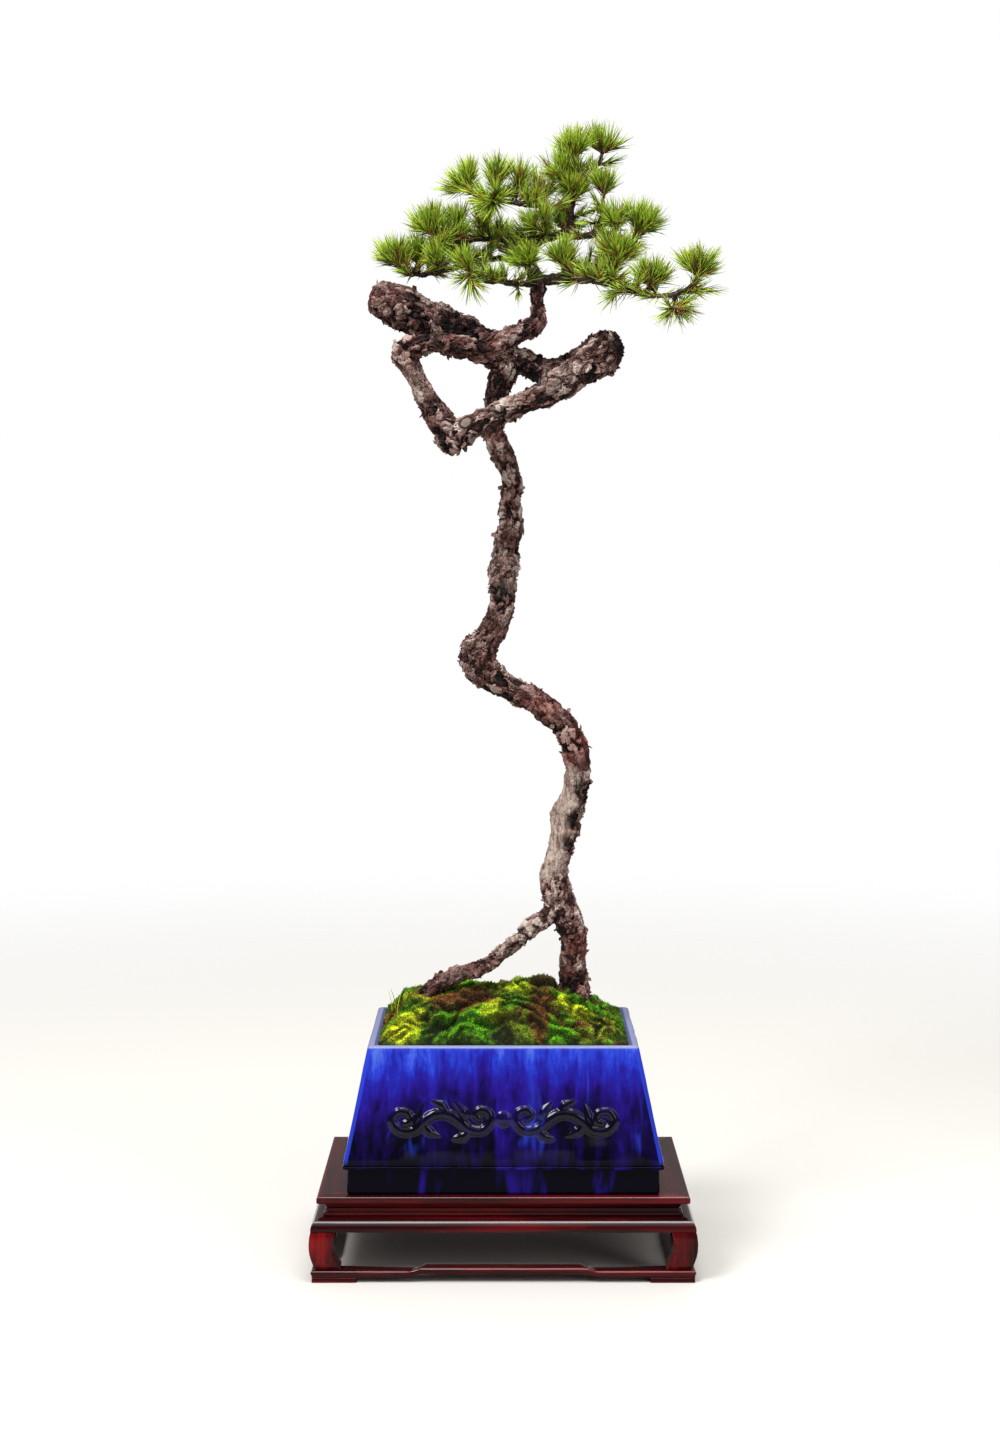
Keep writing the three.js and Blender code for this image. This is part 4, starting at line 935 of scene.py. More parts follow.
BRANCHES = [
    [
        (32, -6, 890, 7.4), (26, -2, 906, 6), (19, 3, 920, 5), (26, 2, 930, 4.4), (40, -2, 934, 4),
        (54, 0, 938, 3.7), (61, 4, 947, 3.2), (62, 8, 962, 2.8), (65, 6, 977, 2.3), (66, 4, 989, 2),
        (64, 2, 998, 1.7),
    ],
    [(30, -5, 892, 3), (13, -14, 891, 2.5), (-3, -20, 892, 2.2), (-15, -22, 893, 2), (-26, -18, 902, 1.7)],
    [
        (21, 2, 917, 3.3), (3, 10, 918, 2.8), (-11, 14, 917, 2.5), (-25, 12, 914, 2.3), (-41, 8, 909, 2.1),
        (-59, 2, 904, 1.9), (-76, 0, 901, 1.8), (-90, -2, 902, 1.7),
    ],
    [
        (34, -6, 894, 4.2), (53, -16, 895, 3.8), (73, -28, 893, 3.4), (91, -38, 889, 3),
        (107, -46, 883, 2.7), (127, -53, 876, 2.3), (149, -58, 876, 2), (168, -60, 884, 1.7),
    ],
    [(91, -37, 889, 2.4), (99, -36, 901, 1.8)],
    [(36, -2, 897, 3.4), (56, 12, 902, 2.8), (80, 22, 905, 2.3), (102, 30, 912, 1.8)],
    [(21, 3, 918, 3.2), (10, 22, 924, 2.6), (2, 38, 928, 2.2), (-3, 50, 931, 1.8)],
    [
        (21, 3, 921, 3.4), (8, 8, 930, 3), (-5, 12, 935, 2.7), (-20, 8, 934, 2.4), (-42, 0, 931, 2.1),
        (-60, -7, 928, 1.7),
    ],
    [(53, 0, 937, 3.4), (69, -10, 934, 3), (85, -16, 935, 2.6), (99, -20, 933, 2.3), (118, -22, 927, 1.8)],
    [(87, -16, 935, 2.4), (92, -12, 948, 2.1), (90, -10, 963, 1.8)],
    [
        (40, -2, 934, 3.2), (38, -8, 947, 2.8), (37, -10, 959, 2.5), (25, -8, 962, 2.3), (11, -6, 964, 2.1),
        (-3, -4, 968, 1.9), (-15, -4, 971, 1.8), (-25, -5, 971, 1.7),
    ],
    [(63, 5, 985, 2.1), (76, 4, 993, 1.9), (88, 2, 1002, 1.7)],
]


@dataclass(frozen=True)
class Spray:
    """One group of shoots, from its place on a branch to the tips of its needles."""

    name: str
    start: tuple[float, float, float]
    tips: tuple[tuple[float, float, float], ...]
    twig: float = 5
    fullness: float = 1.0
    spread: float = 1.0


SPRAYS = [
    Spray("left_tip", (-90, -2, 902), ((-117, -4, 919), (-110, 10, 931), (-96, -12, 931))),
    Spray("left_outer", (-76, 0, 901), ((-85, 14, 932), (-72, -4, 938))),
    Spray("left_front", (-59, 2, 904), ((-60, -18, 931), (-58, -40, 910))),
    Spray("left_inner", (-41, 8, 909), ((-50, 14, 936), (-38, 42, 934)), fullness=0.8),
    Spray("low_left", (-26, -18, 902), ((-38, -42, 914), (-33, -26, 879)), fullness=0.75),
    Spray("shelf_left_tip", (-60, -7, 928), ((-84, -12, 946), (-75, -4, 961), (-56, 2, 961))),
    Spray("shelf_left_middle", (-42, 0, 931), ((-41, -8, 958), (-49, 30, 954))),
    Spray("shelf_left_inner", (-20, 8, 934), ((-21, -18, 951), (-18, 45, 952)), fullness=0.7),
    Spray("crown_left_tip", (-25, -5, 971),
          ((-56, -8, 974), (-47, 0, 993), (-33, -12, 1000), (-27, 26, 997)), fullness=0.75),
    Spray("crown_left_middle", (-3, -4, 968),
          ((-9, -8, 1005), (3, 2, 1013), (-28, -18, 953), (-10, -32, 944))),
    Spray("crown_left_inner", (11, -6, 964), ((18, -12, 1004), (15, 26, 998)), fullness=0.75),
    Spray("crown_rear", (37, -10, 959), ((26, 24, 990), (44, 34, 994)), fullness=0.7),
    Spray("apex", (64, 2, 998), ((60, 2, 1035), (45, 12, 1028), (78, -8, 1025))),
    Spray("apex_left", (65, 6, 979), ((43, -4, 1010), (35, -22, 992), (62, 44, 1006))),
    Spray("apex_front", (62, 8, 964), ((56, -26, 986), (80, -20, 981))),
    Spray("apex_right", (88, 2, 1002), ((76, 8, 1027), (90, -6, 1029), (107, 2, 1020)),
          fullness=0.55, spread=0.8),
    Spray("crown_right", (90, -10, 963), ((80, -18, 989), (101, -4, 991)), fullness=0.6, spread=0.85),
    Spray("shelf_right_tip", (118, -22, 927), ((115, -24, 961), (128, -16, 963), (144, -28, 946))),
    Spray("shelf_right_rear", (98, -20, 935), ((109, 14, 958), (97, -52, 942))),
    Spray("riser_right", (99, -36, 901), ((89, -38, 928), (105, -54, 928), (123, -42, 920)), fullness=0.8),
    Spray("middle_right", (53, -16, 896), ((44, -36, 924), (66, -34, 925)), 7),
    Spray("middle_left", (25, -2, 907), ((7, -28, 908), (30, -38, 912)), 9),
    Spray("middle_upper", (40, -2, 934), ((18, -26, 940), (40, -30, 955)), 8),
    Spray("middle_rear", (54, 0, 938), ((47, 32, 961), (71, 38, 954)), 7),
    Spray("low_right_middle", (127, -53, 876), ((118, -46, 903), (136, -62, 905), (152, -48, 897)),
          fullness=0.85),
    Spray("low_right_tip", (168, -60, 884),
          ((159, -64, 909), (170, -46, 917), (182, -66, 915), (184, -58, 896)), fullness=0.8, spread=0.7),
    Spray("low_right_drop", (149, -58, 876), ((145, -66, 850), (165, -50, 860)), fullness=0.55),
    Spray("rear_right", (102, 30, 912), ((99, 44, 939), (124, 44, 928), (88, 64, 929))),
    Spray("rear_left", (-3, 50, 931), ((-20, 62, 954), (1, 78, 960), (16, 84, 941))),
]


class BarkLook(Enum):
    """How a stretch of bark can differ from the rest."""

    PALE = "pale"
    RED = "red"
    DARK = "dark"
    SMOOTH = "smooth"
    FLAKY = "flaky"
    SCAR = "scar"


# Soft-edged balls in which the bark looks different from the rest: the middle, the reach and the strength of
# each. The pale and dark balls are partly the bark's own colour and partly painted light and shade, such as
# the paler left and darker right of the lower trunk.
BARK_ZONES = {
    BarkLook.PALE: [
        (40, -8, 358, 20, 0.8), (43, -8, 378, 20, 1), (46, -8, 400, 20, 1), (52, -8, 422, 20, 1),
        (60, -8, 442, 16, 0.8), (-44, -22, 262, 20, 0.25), (16, -14, 298, 28, 0.55),
        (-6, -6, 632, 30, 0.35), (20, 2, 832, 7, 0.8), (44, -60, 808, 26, 0.4), (0, -60, 782, 18, 0.5),
        (-80, -46, 800, 22, 0.4),
    ],
    BarkLook.RED: [
        (-124, -12, 878, 16, 0.6), (30, -20, 868, 34, 0.5), (-30, -44, 836, 40, 0.35),
        (20, -46, 784, 30, 0.35), (-40, -16, 262, 34, 0.5), (72, -14, 290, 18, 1), (70, -10, 474, 28, 0.8),
        (36, -10, 515, 30, 0.6), (66, -8, 250, 26, 0.4),
    ],
    BarkLook.DARK: [
        (-20, 3, 842, 30, 0.8), (-50, 0, 850, 34, 1), (-84, -4, 856, 36, 0.8), (-40, -34, 738, 26, 0.9),
        (-60, -42, 768, 24, 0.5), (-26, 0, 544, 24, 0.9), (108, -12, 826, 26, 0.9), (22, 16, 820, 26, 1),
        (52, 20, 818, 26, 1), (-2, 6, 800, 22, 0.8), (-2, 2, 760, 20, 0.6), (70, -6, 400, 16, 1),
        (62, -8, 378, 12, 0.9), (76, -6, 430, 16, 0.9), (68, 0, 240, 34, 0.8), (24, -30, 850, 34, 0.7),
        (31, -16, 882, 24, 0.6), (-60, -40, 834, 34, 0.35), (-84, -40, 816, 26, 0.3),
        (-22, -14, 266, 24, 0.6), (-60, -18, 252, 30, 0.5),
    ],
    BarkLook.SMOOTH: [
        (42, -10, 370, 24, 1), (48, -10, 394, 24, 1), (52, -10, 422, 24, 1), (66, -10, 452, 18, 0.7),
    ],
    BarkLook.FLAKY: [
        (64, -6, 384, 16, 1), (76, -4, 428, 18, 1), (-60, -18, 254, 30, 0.6), (-32, 0, 552, 28, 1),
        (-60, 0, 838, 46, 0.9), (-30, 0, 862, 34, 0.8), (104, -6, 832, 34, 1), (-10, 4, 640, 34, 1),
        (74, 0, 404, 20, 0.9), (-42, -40, 744, 22, 0.7),
    ],
    BarkLook.SCAR: [
        (-34, -57, 766, 8, 1),
    ],
}


@dataclass
class Bark:
    """Shapes pine bark on a mesh: rough flakes in layers, which lift at one end and leave gaps."""

    plate: float = 6.4
    plate_stretch: float = 2.5
    plate_rise: float = 2.2
    plate_tilt: float = 0.3
    flake: float = 2.9
    flake_stretch: float = 2.0
    flake_rise: float = 0.8
    gap_depth: float = 1.7
    gap_patch: float = 8
    coarse_patch: float = 26
    fine: float = 3.4
    fine_rise: float = 0.45
    swell: float = 2.1
    swell_size: float = 19
    warp: float = 3.4
    warp_size: float = 7
    ragged: float = 9
    ragged_rise: float = 2.6
    full_radius: float = 7.5
    shade_below: float = 0.7
    blotch: float = 7
    scar_rise: float = 1.2
    limb_spacing: float = 700
    seed: int = 11

    def shape(self, mesh: Mesh, limbs: Sequence[Stations]) -> None:
        """Raises the bark on a mesh and stores what the finish reads.

        Args:
            mesh: The smooth wood.
            limbs: The limbs inside it.
        """
        points, normals = point_array(mesh), normal_array(mesh)
        straight, radius = self.straightened(points, limbs)
        bend = [self.warp * layered_noise(straight, self.warp_size, self.seed + part) for part in range(3)]
        warped = straight + np.stack(bend, axis=1)
        plates = Cells.at(warped / (self.plate_stretch, 1, 1), self.plate, self.seed)
        flakes = Cells.at(warped / (self.flake_stretch, 1, 1), self.flake, self.seed + 5)
        parted = smooth_share(lattice_noise(straight, self.gap_patch, self.seed + 8), -0.5, 0.3)
        gap = (1 - smooth_share(plates.second - plates.first, 0.1, 1.7)) * (0.25 + 0.75 * parted)
        crack = 1 - smooth_share(flakes.second - flakes.first, 0.0, 0.8)
        coarse = smooth_share(lattice_noise(straight, self.coarse_patch, self.seed + 14), -0.35, 0.35)
        relief = self.plate_rise * (plates.own - 0.4) + self.plate_tilt * plates.offset[:, 0]
        relief = (relief - self.gap_depth * gap) * lerp(0.45, 1.15, coarse)
        relief += self.flake_rise * lerp(1.5, 0.8, coarse) * (flakes.own - 0.5 - 0.6 * crack)
        relief += self.fine_rise * layered_noise(straight, self.fine, self.seed + 4, 2)
        looks = {look: self._zone_strength(points, look) for look in BarkLook}
        flaky, smooth, scar = looks[BarkLook.FLAKY], looks[BarkLook.SMOOTH], looks[BarkLook.SCAR]
        # Painted shade: faces that look down are darkened through the dark look.
        below = self.shade_below * smooth_share(-normals[:, 2], 0.1, 0.9)
        looks[BarkLook.DARK] = np.maximum(looks[BarkLook.DARK], below)
        calm = (1 - 0.72 * smooth) * (1 - 0.9 * smooth_share(scar, 0.02, 0.1))
        thick = np.minimum(1, radius / self.full_radius)
        relief *= calm * thick
        low, high = np.percentile(relief, (4, 96))
        raised = np.clip((relief - low) / (high - low), 0, 1)
        relief += self.swell * thick * layered_noise(straight, self.swell_size, self.seed + 9, 2)
        relief += self.ragged_rise * flaky * layered_noise(straight, self.ragged, self.seed + 17, 2)
        ring = smooth_share(scar, 0.05, 0.15) * (1 - smooth_share(scar, 0.3, 0.4))
        move_points(mesh, points + normals * (relief + self.scar_rise * ring)[:, None])
        store(mesh, "raised", raised)
        store(mesh, "plate", plates.own)
        store(mesh, "scar", scar)
        store(mesh, "flaky", np.clip(0.1 + flaky - smooth, 0, 1))
        blotches = 0.5 + 0.5 * lattice_noise(points, self.blotch, self.seed + 20)
        for look in (BarkLook.PALE, BarkLook.RED, BarkLook.DARK):
            store(mesh, look.value, looks[look] * (0.5 + 0.5 * blotches))

    def straightened(self, points: Array, limbs: Sequence[Stations]) -> tuple[Array, Array]:
        """Lays the limbs out straight.

        Args:
            points: Places on the wood.
            limbs: The limbs inside it.

        Returns:
            Each point's distance along its limb and its place across it, and the limb's radius there.
        """
        centres = np.vstack([limb.centre for limb in limbs])
        directions = np.vstack([limb.direction for limb in limbs])
        sides = np.vstack([limb.side for limb in limbs])
        radii = np.concatenate([limb.radius for limb in limbs])
        starts = []
        for number, limb in enumerate(limbs):
            steps = np.linalg.norm(np.diff(limb.centre, axis=0), axis=1)
            starts.append(number * self.limb_spacing + np.concatenate([[0], np.cumsum(steps)]))
        start = np.concatenate(starts)
        tree = KDTree(len(centres))
        for index, centre in enumerate(centres):
            tree.insert(centre, index)
        tree.balance()
        nearest = np.array([tree.find(point)[1] for point in points])
        away = points - centres[nearest]
        direction, side = directions[nearest], sides[nearest]
        across = np.cross(direction, side)
        along = start[nearest] + np.einsum("ij,ij->i", away, direction)
        parts = [along, np.einsum("ij,ij->i", away, side), np.einsum("ij,ij->i", away, across)]
        return np.stack(parts, axis=1), radii[nearest]

    @staticmethod
    def _zone_strength(points: Array, look: BarkLook) -> Array:
        """Returns how strongly each point has a look."""
        total = np.zeros(len(points))
        for x, y, z, reach, full in BARK_ZONES[look]:
            far = np.linalg.norm(points - (x, y, z), axis=1)
            if look is BarkLook.SCAR:
                strength = np.clip(1 - far / reach, 0, 1)
            else:
                strength = full * (1 - smooth_share(far, 0.5 * reach, reach))
            total = np.maximum(total, strength)
        return total


@dataclass
class Wood:
    """The tree's wood: trunk, roots, limbs, branches and twigs."""

    voxel: float = 1.16
    soften_steps: int = 3
    limb_step: float = 4
    limb_sides: int = 28
    branch_step: float = 2
    branch_sides: int = 12
    rounding: tuple = ((0.3, 0.95), (0.55, 0.82), (0.75, 0.6), (0.88, 0.35))
    split_height: float = 640
    stem_radii: tuple = (1.8, 1.6)
    stem_sink: float = 0.5
    scale: float = 3.0
    scale_seed: int = 51
    lump: float = 5
    lump_rise: float = 0.6
    lump_seed: int = 31
    flake: float = 2.6
    flake_density: float = 64000.0
    flake_swing: tuple = (0.95, 0.95, 3.14)
    flake_sizes: tuple = ((0.5, 0.9, 0.8), (1.1, 2.1, 1.6))
    flake_seed: int = 4

    def thick_limbs(self) -> list[Stations]:
        """Returns the stations of the thick limbs."""
        lists = [TRUNK_LOWER, TRUNK_UPPER, LEANING_ROOT, THICK_STUB, REAR_LIMB, FRONT_LIMB, LEFT_LIMB,
                 CROSSING_LIMB, RISING_LIMB, TRUNK_FOOT, *BURIED_ROOTS, BRANCHES[0][:4]]
        return [stations_along(points, self.limb_step) for points in lists]

    def merged_mesh(self, limbs: Sequence[Stations]) -> Mesh:
        """Returns the thick limbs as one closed skin."""
        tubes = joined(swept(limb, self.limb_sides, self.rounding) for limb in limbs)
        work = loose_object("wood_work", tubes.mesh("wood_work"))
        remesh = work.modifiers.new("merge", "REMESH")
        remesh.mode = "VOXEL"
        remesh.voxel_size = self.voxel * MM
        soften = work.modifiers.new("soften", "SMOOTH")
        soften.iterations = self.soften_steps
        return applied_mesh(work)

    def build(self, bark: Material, twig: Material) -> None:
        """Adds the wood's pieces."""
        limbs = self.thick_limbs()
        mesh = self.merged_mesh(limbs)
        Bark().shape(mesh, limbs)
        add_piece("wood_upper", self._part(mesh, "LESS_THAN"), [bark], ["wood"])
        add_piece("wood_lower", self._part(mesh, "GREATER_EQUAL"), [bark])
        add_piece("bark_flakes", self.flakes(mesh, bark), [])
        add_piece("wood_branches", self.branches(), [twig])

    def _part(self, mesh: Mesh, gone: str) -> Mesh:
        """Takes away the wood on one side of the split height.

        Args:
            mesh: The wood.
            gone: How the height of what goes compares with the split height.

        Returns:
            The rest.
        """
        recipe = Recipe("wood_part", {"Height": self.split_height * MM})
        place = recipe.node("GeometryNodeInputPosition")
        level = recipe.node("ShaderNodeSeparateXYZ", {}, {"Vector": place}, "Z")
        settings = {"data_type": "FLOAT", "operation": gone}
        goes = recipe.node("FunctionNodeCompare", settings, {"A": level, "B": recipe.given("Height")})
        recipe.close(recipe.without(goes, "FACE"))
        return recipe.run(mesh, {})

    def branches(self) -> Mesh:
        """Returns the thin branches and the twigs under the sprays, with small scales."""
        drafts = [swept(stations_along(points, self.branch_step), self.branch_sides) for points in BRANCHES]
        for spray in SPRAYS:
            seat = Seat.under(spray)
            ends = (np.array(spray.start) - self.stem_sink * seat.heading, seat.place - GAP * seat.heading)
            stem = [(*end, radius) for end, radius in zip(ends, self.stem_radii)]
            drafts.append(swept(stations_along(stem, self.branch_step), self.branch_sides))
        mesh = joined(drafts).mesh("wood_branches")
        points, normals = point_array(mesh), normal_array(mesh)
        scales = Cells.at(points, self.scale, self.scale_seed)
        lumps = layered_noise(points, self.lump, self.lump_seed, 2)
        relief = scales.own - 0.35 + self.lump_rise * lumps
        move_points(mesh, points + normals * relief[:, None])
        return mesh

    def flakes(self, mesh: Mesh, bark: Material) -> Mesh:
        """Returns jagged flakes of bark that stand off the surface."""
        inputs = {"Flakes per square metre": self.flake_density, "Flake size": self.flake * MM,
                  "Seed": self.flake_seed, "Finish": None}
        recipe = Recipe("bark_flakes", inputs)
        density = recipe.given("Flakes per square metre") * recipe.stored("flaky")
        chip = {"Vertices": 5, "Radius Top": 0.5, "Radius Bottom": 1.0, "Depth": 0.32}
        recipe.scatter(density, chip, self.flake_swing, self.flake_sizes, recipe.given("Flake size"))
        return recipe.run(mesh, {"Finish": bark})


@dataclass
class Seat:
    """Where a spray sits: just off its branch, headed for the middle of its tips."""

    COLLAR = 2.2

    heading: Array
    place: Array
    collar: Array

    @staticmethod
    def under(spray: Spray) -> "Seat":
        """Returns the seat of a spray."""
        start = np.array(spray.start, dtype=float)
        ways = np.array(spray.tips, dtype=float) - start
        heading = (ways / np.linalg.norm(ways, axis=1)[:, None]).sum(axis=0)
        heading /= np.linalg.norm(heading)
        place = start + heading * spray.twig
        return Seat(heading, place, place + Seat.COLLAR * heading)


@dataclass
class Foliage:
    """The needles, in brush-like tufts round slim shoots."""

    needles_a_shoot: int = 32
    side_shoots: int = 5
    branch_shoots: int = 200
    branch_needles: int = 24
    branch_step: float = 2.0
    bare_stations: int = 14
    side_spread: float = 0.78
    side_lift: tuple = (0, 0, 0.6)
    side_start: tuple = (0.12, 0.25)
    side_length: tuple = (0.56, 0.3)
    side_size: tuple = (0.72, 0.26)
    inner_spread: tuple = (1, 0.8, 0.6)
    inner_lift: tuple = (0, -0.15, 0.55)
    inner_length: tuple = (23, 9)
    inner_size: tuple = (0.56, 0.36)
    length: float = 24
    width: float = 1.0
    bend: float = 1.8
    reach: float = 22
    shortest_core: float = 6
    core_radii: tuple = (1.3, 1.2, 1.1, 0.8)
    core_rounding: tuple = ((0.6, 0.6), (1.4, 0.2))
    core_step: float = 1.5
    core_sides: int = 6
    bow: float = 0.08
    low_lean: float = 47
    tip_lean: float = 4
    lean_spread: float = 42
    shortest: float = 0.6
    longest: float = 1.1
    low_stretch: float = 0.74
    turn_spread: float = 0.8
    root_depth: float = 0.5
    root_power: float = 0.8
    length_power: float = 0.6
    fresh_power: float = 1.5
    upturn: float = 0.18
    seed: int = 17

    def recipe(self) -> Recipe:
        """Returns the tree that grows a curved needle from each root point of a shoot."""
        inputs = {"Needle length": self.length * MM, "Needle width": self.width * MM,
                  "Needle bend": self.bend * MM, "Seed": self.seed,
                  "Needle finish": None, "Twig finish": None}
        tree = Recipe("needles", inputs)
        end = tree.node("ShaderNodeCombineXYZ", {}, {"Z": tree.given("Needle length")})
        line = tree.node("GeometryNodeCurvePrimitiveLine", {}, {"End": end})
        line = tree.node("GeometryNodeResampleCurve", {}, {"Curve": line, "Count": 3})
        along = tree.node("GeometryNodeSplineParameter", {}, {}, "Factor")
        sideways = tree.node("ShaderNodeCombineXYZ", {}, {"X": along * along * tree.given("Needle bend")})
        line = tree.node("GeometryNodeSetPosition", {}, {"Geometry": line, "Offset": sideways})
        line = tree.kept(line, "along", along, "POINT")
        taper = tree.given("Needle width") * 0.5 * (1 - along * along * 0.8)
        sockets = {"Resolution": 3, "Radius": 1.0}
        ring = tree.node("GeometryNodeCurvePrimitiveCircle", {"mode": "RADIUS"}, sockets)
        sockets = {"Curve": line, "Profile Curve": ring, "Scale": taper, "Fill Caps": True}
        needle = tree.node("GeometryNodeCurveToMesh", {}, sockets)
        heading = tree.stored("heading", "FLOAT_VECTOR")
        rotation = tree.node("FunctionNodeAlignRotationToVector", {"axis": "Z"}, {"Vector": heading})
        rotation = tree.turned(rotation, tree.random((0, 0, 0), (0, 0, math.tau)))
        scale = tree.node("ShaderNodeCombineXYZ", {}, {"X": 1.0, "Y": 1.0, "Z": tree.stored("stretch")})
        is_root = tree.stored("is_root")
        sockets = {"Points": tree.entry, "Selection": is_root, "Instance": needle, "Rotation": rotation,
                   "Scale": scale}
        placed = tree.node("GeometryNodeInstanceOnPoints", {}, sockets)
        tone = tree.node("FunctionNodeRandomValue", {"data_type": "FLOAT"}, {"Seed": tree.given("Seed")}, 1)
        placed = tree.kept(placed, "tone", tone, "INSTANCE")
        real = tree.node("GeometryNodeRealizeInstances", {}, {"Geometry": placed})
        real = tree.node("GeometryNodeSetShadeSmooth", {}, {"Geometry": real})
        core = tree.painted(tree.without(is_root, "POINT"), "Twig finish")
        both = tree.tree.nodes.new("GeometryNodeJoinGeometry")
        for part in (core, tree.painted(real, "Needle finish")):
            tree.tree.links.new(part.socket, both.inputs[0])
        tree.close(Value(tree, both))
        return tree

    def build(self, needle: Material, twig: Material) -> None:
        """Adds one piece for each spray, and one for the short shoots between them."""
        recipe = self.recipe()
        finishes = {"Needle finish": needle, "Twig finish": twig}
        random = np.random.default_rng(self.seed)
        for index, spray in enumerate(SPRAYS):
            name = f"spray_{spray.name}"
            count = round(self.needles_a_shoot * spray.fullness)
            mesh = self.shoots_mesh(name, self.shoot_paths(spray, random), random, count, spray.spread)
            mesh = recipe.run(mesh, {**finishes, "Seed": self.seed + index})
            add_piece(f"needles_{spray.name}", mesh, [], [name])
        paths = self.inner_paths(random)
        mesh = self.shoots_mesh("needles_inner", paths, random, self.branch_needles, 1.0)
        mesh = recipe.run(mesh, {**finishes, "Seed": self.seed - 1})
        add_piece("needles_inner", mesh, [])

    @staticmethod
    def drawn(random: Random, least: float, extra: float) -> float:
        """Returns a random number from a least one to that plus an extra."""
        return least + extra * random.random()

    def inner_paths(self, random: Random) -> Iterable[tuple]:
        """Yields short shoots that stand along the branches, between the sprays."""
        leader, *others = [stations_along(points, self.branch_step).centre for points in BRANCHES]
        places = [place for centres in others for place in centres[len(centres) // 4 :]]
        places.extend(leader[self.bare_stations :])
        for index in random.permutation(len(places))[: self.branch_shoots]:
            way = random.normal(size=3) * self.inner_spread + np.array(self.inner_lift)
            way /= np.linalg.norm(way)
            start = places[index] + way
            end = start + way * self.drawn(random, *self.inner_length)
            yield [start], end, self.drawn(random, *self.inner_size), way

    def shoot_paths(self, spray: Spray, random: Random) -> Iterable[tuple]:
        """Yields each shoot's first places, its needles' end, its size and its bow, side shoots last."""
        seat = Seat.under(spray)
        for number, tip in enumerate(np.array(spray.tips, dtype=float)):
            towards = tip - seat.collar
            far = np.linalg.norm(towards)
            yield [seat.place, seat.collar][number > 0 :], tip, 1.0, seat.heading
            for _ in range(self.side_shoots):
                swerve = random.normal(size=3)
                swerve /= np.linalg.norm(swerve)
                heading = towards / far + self.side_spread * (swerve + self.side_lift)
                heading /= np.linalg.norm(heading)
                start = seat.collar + towards * self.drawn(random, *self.side_start)
                end = start + heading * far * self.drawn(random, *self.side_length)
                yield [start], end, self.drawn(random, *self.side_size), heading

    def shoots_mesh(self, name: str, paths: Iterable[tuple], random: Random,
                    count: int, spread: float) -> Mesh:
        """Returns slim shoots with a loose point where each needle starts.

        Args:
            name: The mesh's name.
            paths: The shoots, as shoot_paths yields them.
            random: Where the random numbers come from.
            count: How many needles a shoot has.
            spread: How far they lean, as a share of the usual lean.

        Returns:
            The mesh, with each needle's heading and length stored on its point.
        """
        cores, roots, headings, stretches, fresh = [], [], [], [], []
        for first, tip, size, bow in paths:
            start = first[-1]
            towards = tip - start
            length = max(self.shortest_core, np.linalg.norm(towards) - self.reach * size)
            end = start + towards / np.linalg.norm(towards) * length
            middle = (start + end) / 2 + self.bow * length * bow
            path = [(*place, radius) for place, radius in zip([*first, middle, end], self.core_radii)]
            stations = stations_along(path, self.core_step)
            cores.append(swept(stations, self.core_sides, self.core_rounding))
            freshness = random.random() ** self.fresh_power
            for place, heading, stretch in self.needles(stations, random, count, spread):
                roots.append(place)
                headings.append(heading)
                stretches.append(stretch * size)
                fresh.append(freshness)
        core = joined(cores)
        bare = len(core.points)
        mesh = Draft(np.vstack([core.points, np.array(roots)]), core.faces).mesh(name)
        store(mesh, "is_root", np.concatenate([np.zeros(bare), np.ones(len(roots))]))
        store(mesh, "stretch", np.concatenate([np.ones(bare), stretches]))
        store(mesh, "fresh", np.concatenate([np.zeros(bare), fresh]))
        store(mesh, "heading", np.vstack([np.tile([0.0, 0.0, 1.0], (bare, 1)), headings]))
        return mesh

    def needles(self, stations: Stations, random: Random, count: int,
                spread: float) -> Iterable[tuple]:
        """Yields the root, heading and length of each needle on a shoot."""
        last = len(stations.centre) - 1
        for number in range(count):
            share = ((number + random.random()) / count) ** self.root_power
            at = share * last
            index = min(int(at), last - 1)
            direction, side = stations.direction[index], stations.side[index]
            turn = number * GOLDEN_TURN + self.turn_spread * random.random()
            outward = side * math.cos(turn) + np.cross(direction, side) * math.sin(turn)
            lean = lerp(self.low_lean, self.tip_lean, share) + self.lean_spread * (random.random() - 0.5)
            lean = math.radians(lean * spread)
            heading = direction * math.cos(lean) + outward * math.sin(lean) + (0, 0, self.upturn)
            heading /= np.linalg.norm(heading)
            place = lerp(stations.centre[index], stations.centre[index + 1], at - index)
            stretch = lerp(self.shortest, self.longest, random.random() ** self.length_power)
            stretch *= lerp(self.low_stretch, 1, share)
            yield place + self.root_depth * outward * stations.radius[index], heading, stretch


# The moss


@dataclass(frozen=True)
class Grid:
    """A grid of points, row after row."""

    columns: int
    rows: int
    coarse: int = 6

    def faces(self) -> list[list[int]]:
        """Returns the faces between neighbouring points."""
        length = self.columns + 1
        starts = (np.arange(self.rows)[:, None] * length + np.arange(self.columns)).ravel()
        return np.stack([starts, starts + 1, starts + 1 + length, starts + length], axis=1).tolist()

    def slab(self, upper: Array, lower: Array) -> Draft:
        """Returns a closed slab between an upper grid and a coarser lower one."""
        columns, rows, length = self.columns, self.rows, self.columns + 1
        faces = self.faces()
        kept_columns = [*range(0, columns, self.coarse), columns]
        kept_rows = [*range(0, rows, self.coarse), rows]
        kept = [row * length + column for row in kept_rows for column in kept_columns]
        under = {index: len(upper) + number for number, index in enumerate(kept)}
        for row, next_row in itertools.pairwise(kept_rows):
            for column, following in itertools.pairwise(kept_columns):
                corners = ((row, column), (next_row, column), (next_row, following), (row, following))
                faces.append([under[line * length + place] for line, place in corners])
        edges = []
        for column, following in itertools.pairwise(kept_columns):
            edges.append(list(range(following, column - 1, -1)))
            edges.append([rows * length + index for index in range(column, following + 1)])
        for row, following in itertools.pairwise(kept_rows):
            edges.append([index * length + columns for index in range(following, row - 1, -1)])
            edges.append([index * length for index in range(row, following + 1)])
        faces.extend([under[edge[-1]], under[edge[0]], *edge] for edge in edges)
        return Draft(np.vstack([upper, lower[kept]]), faces)


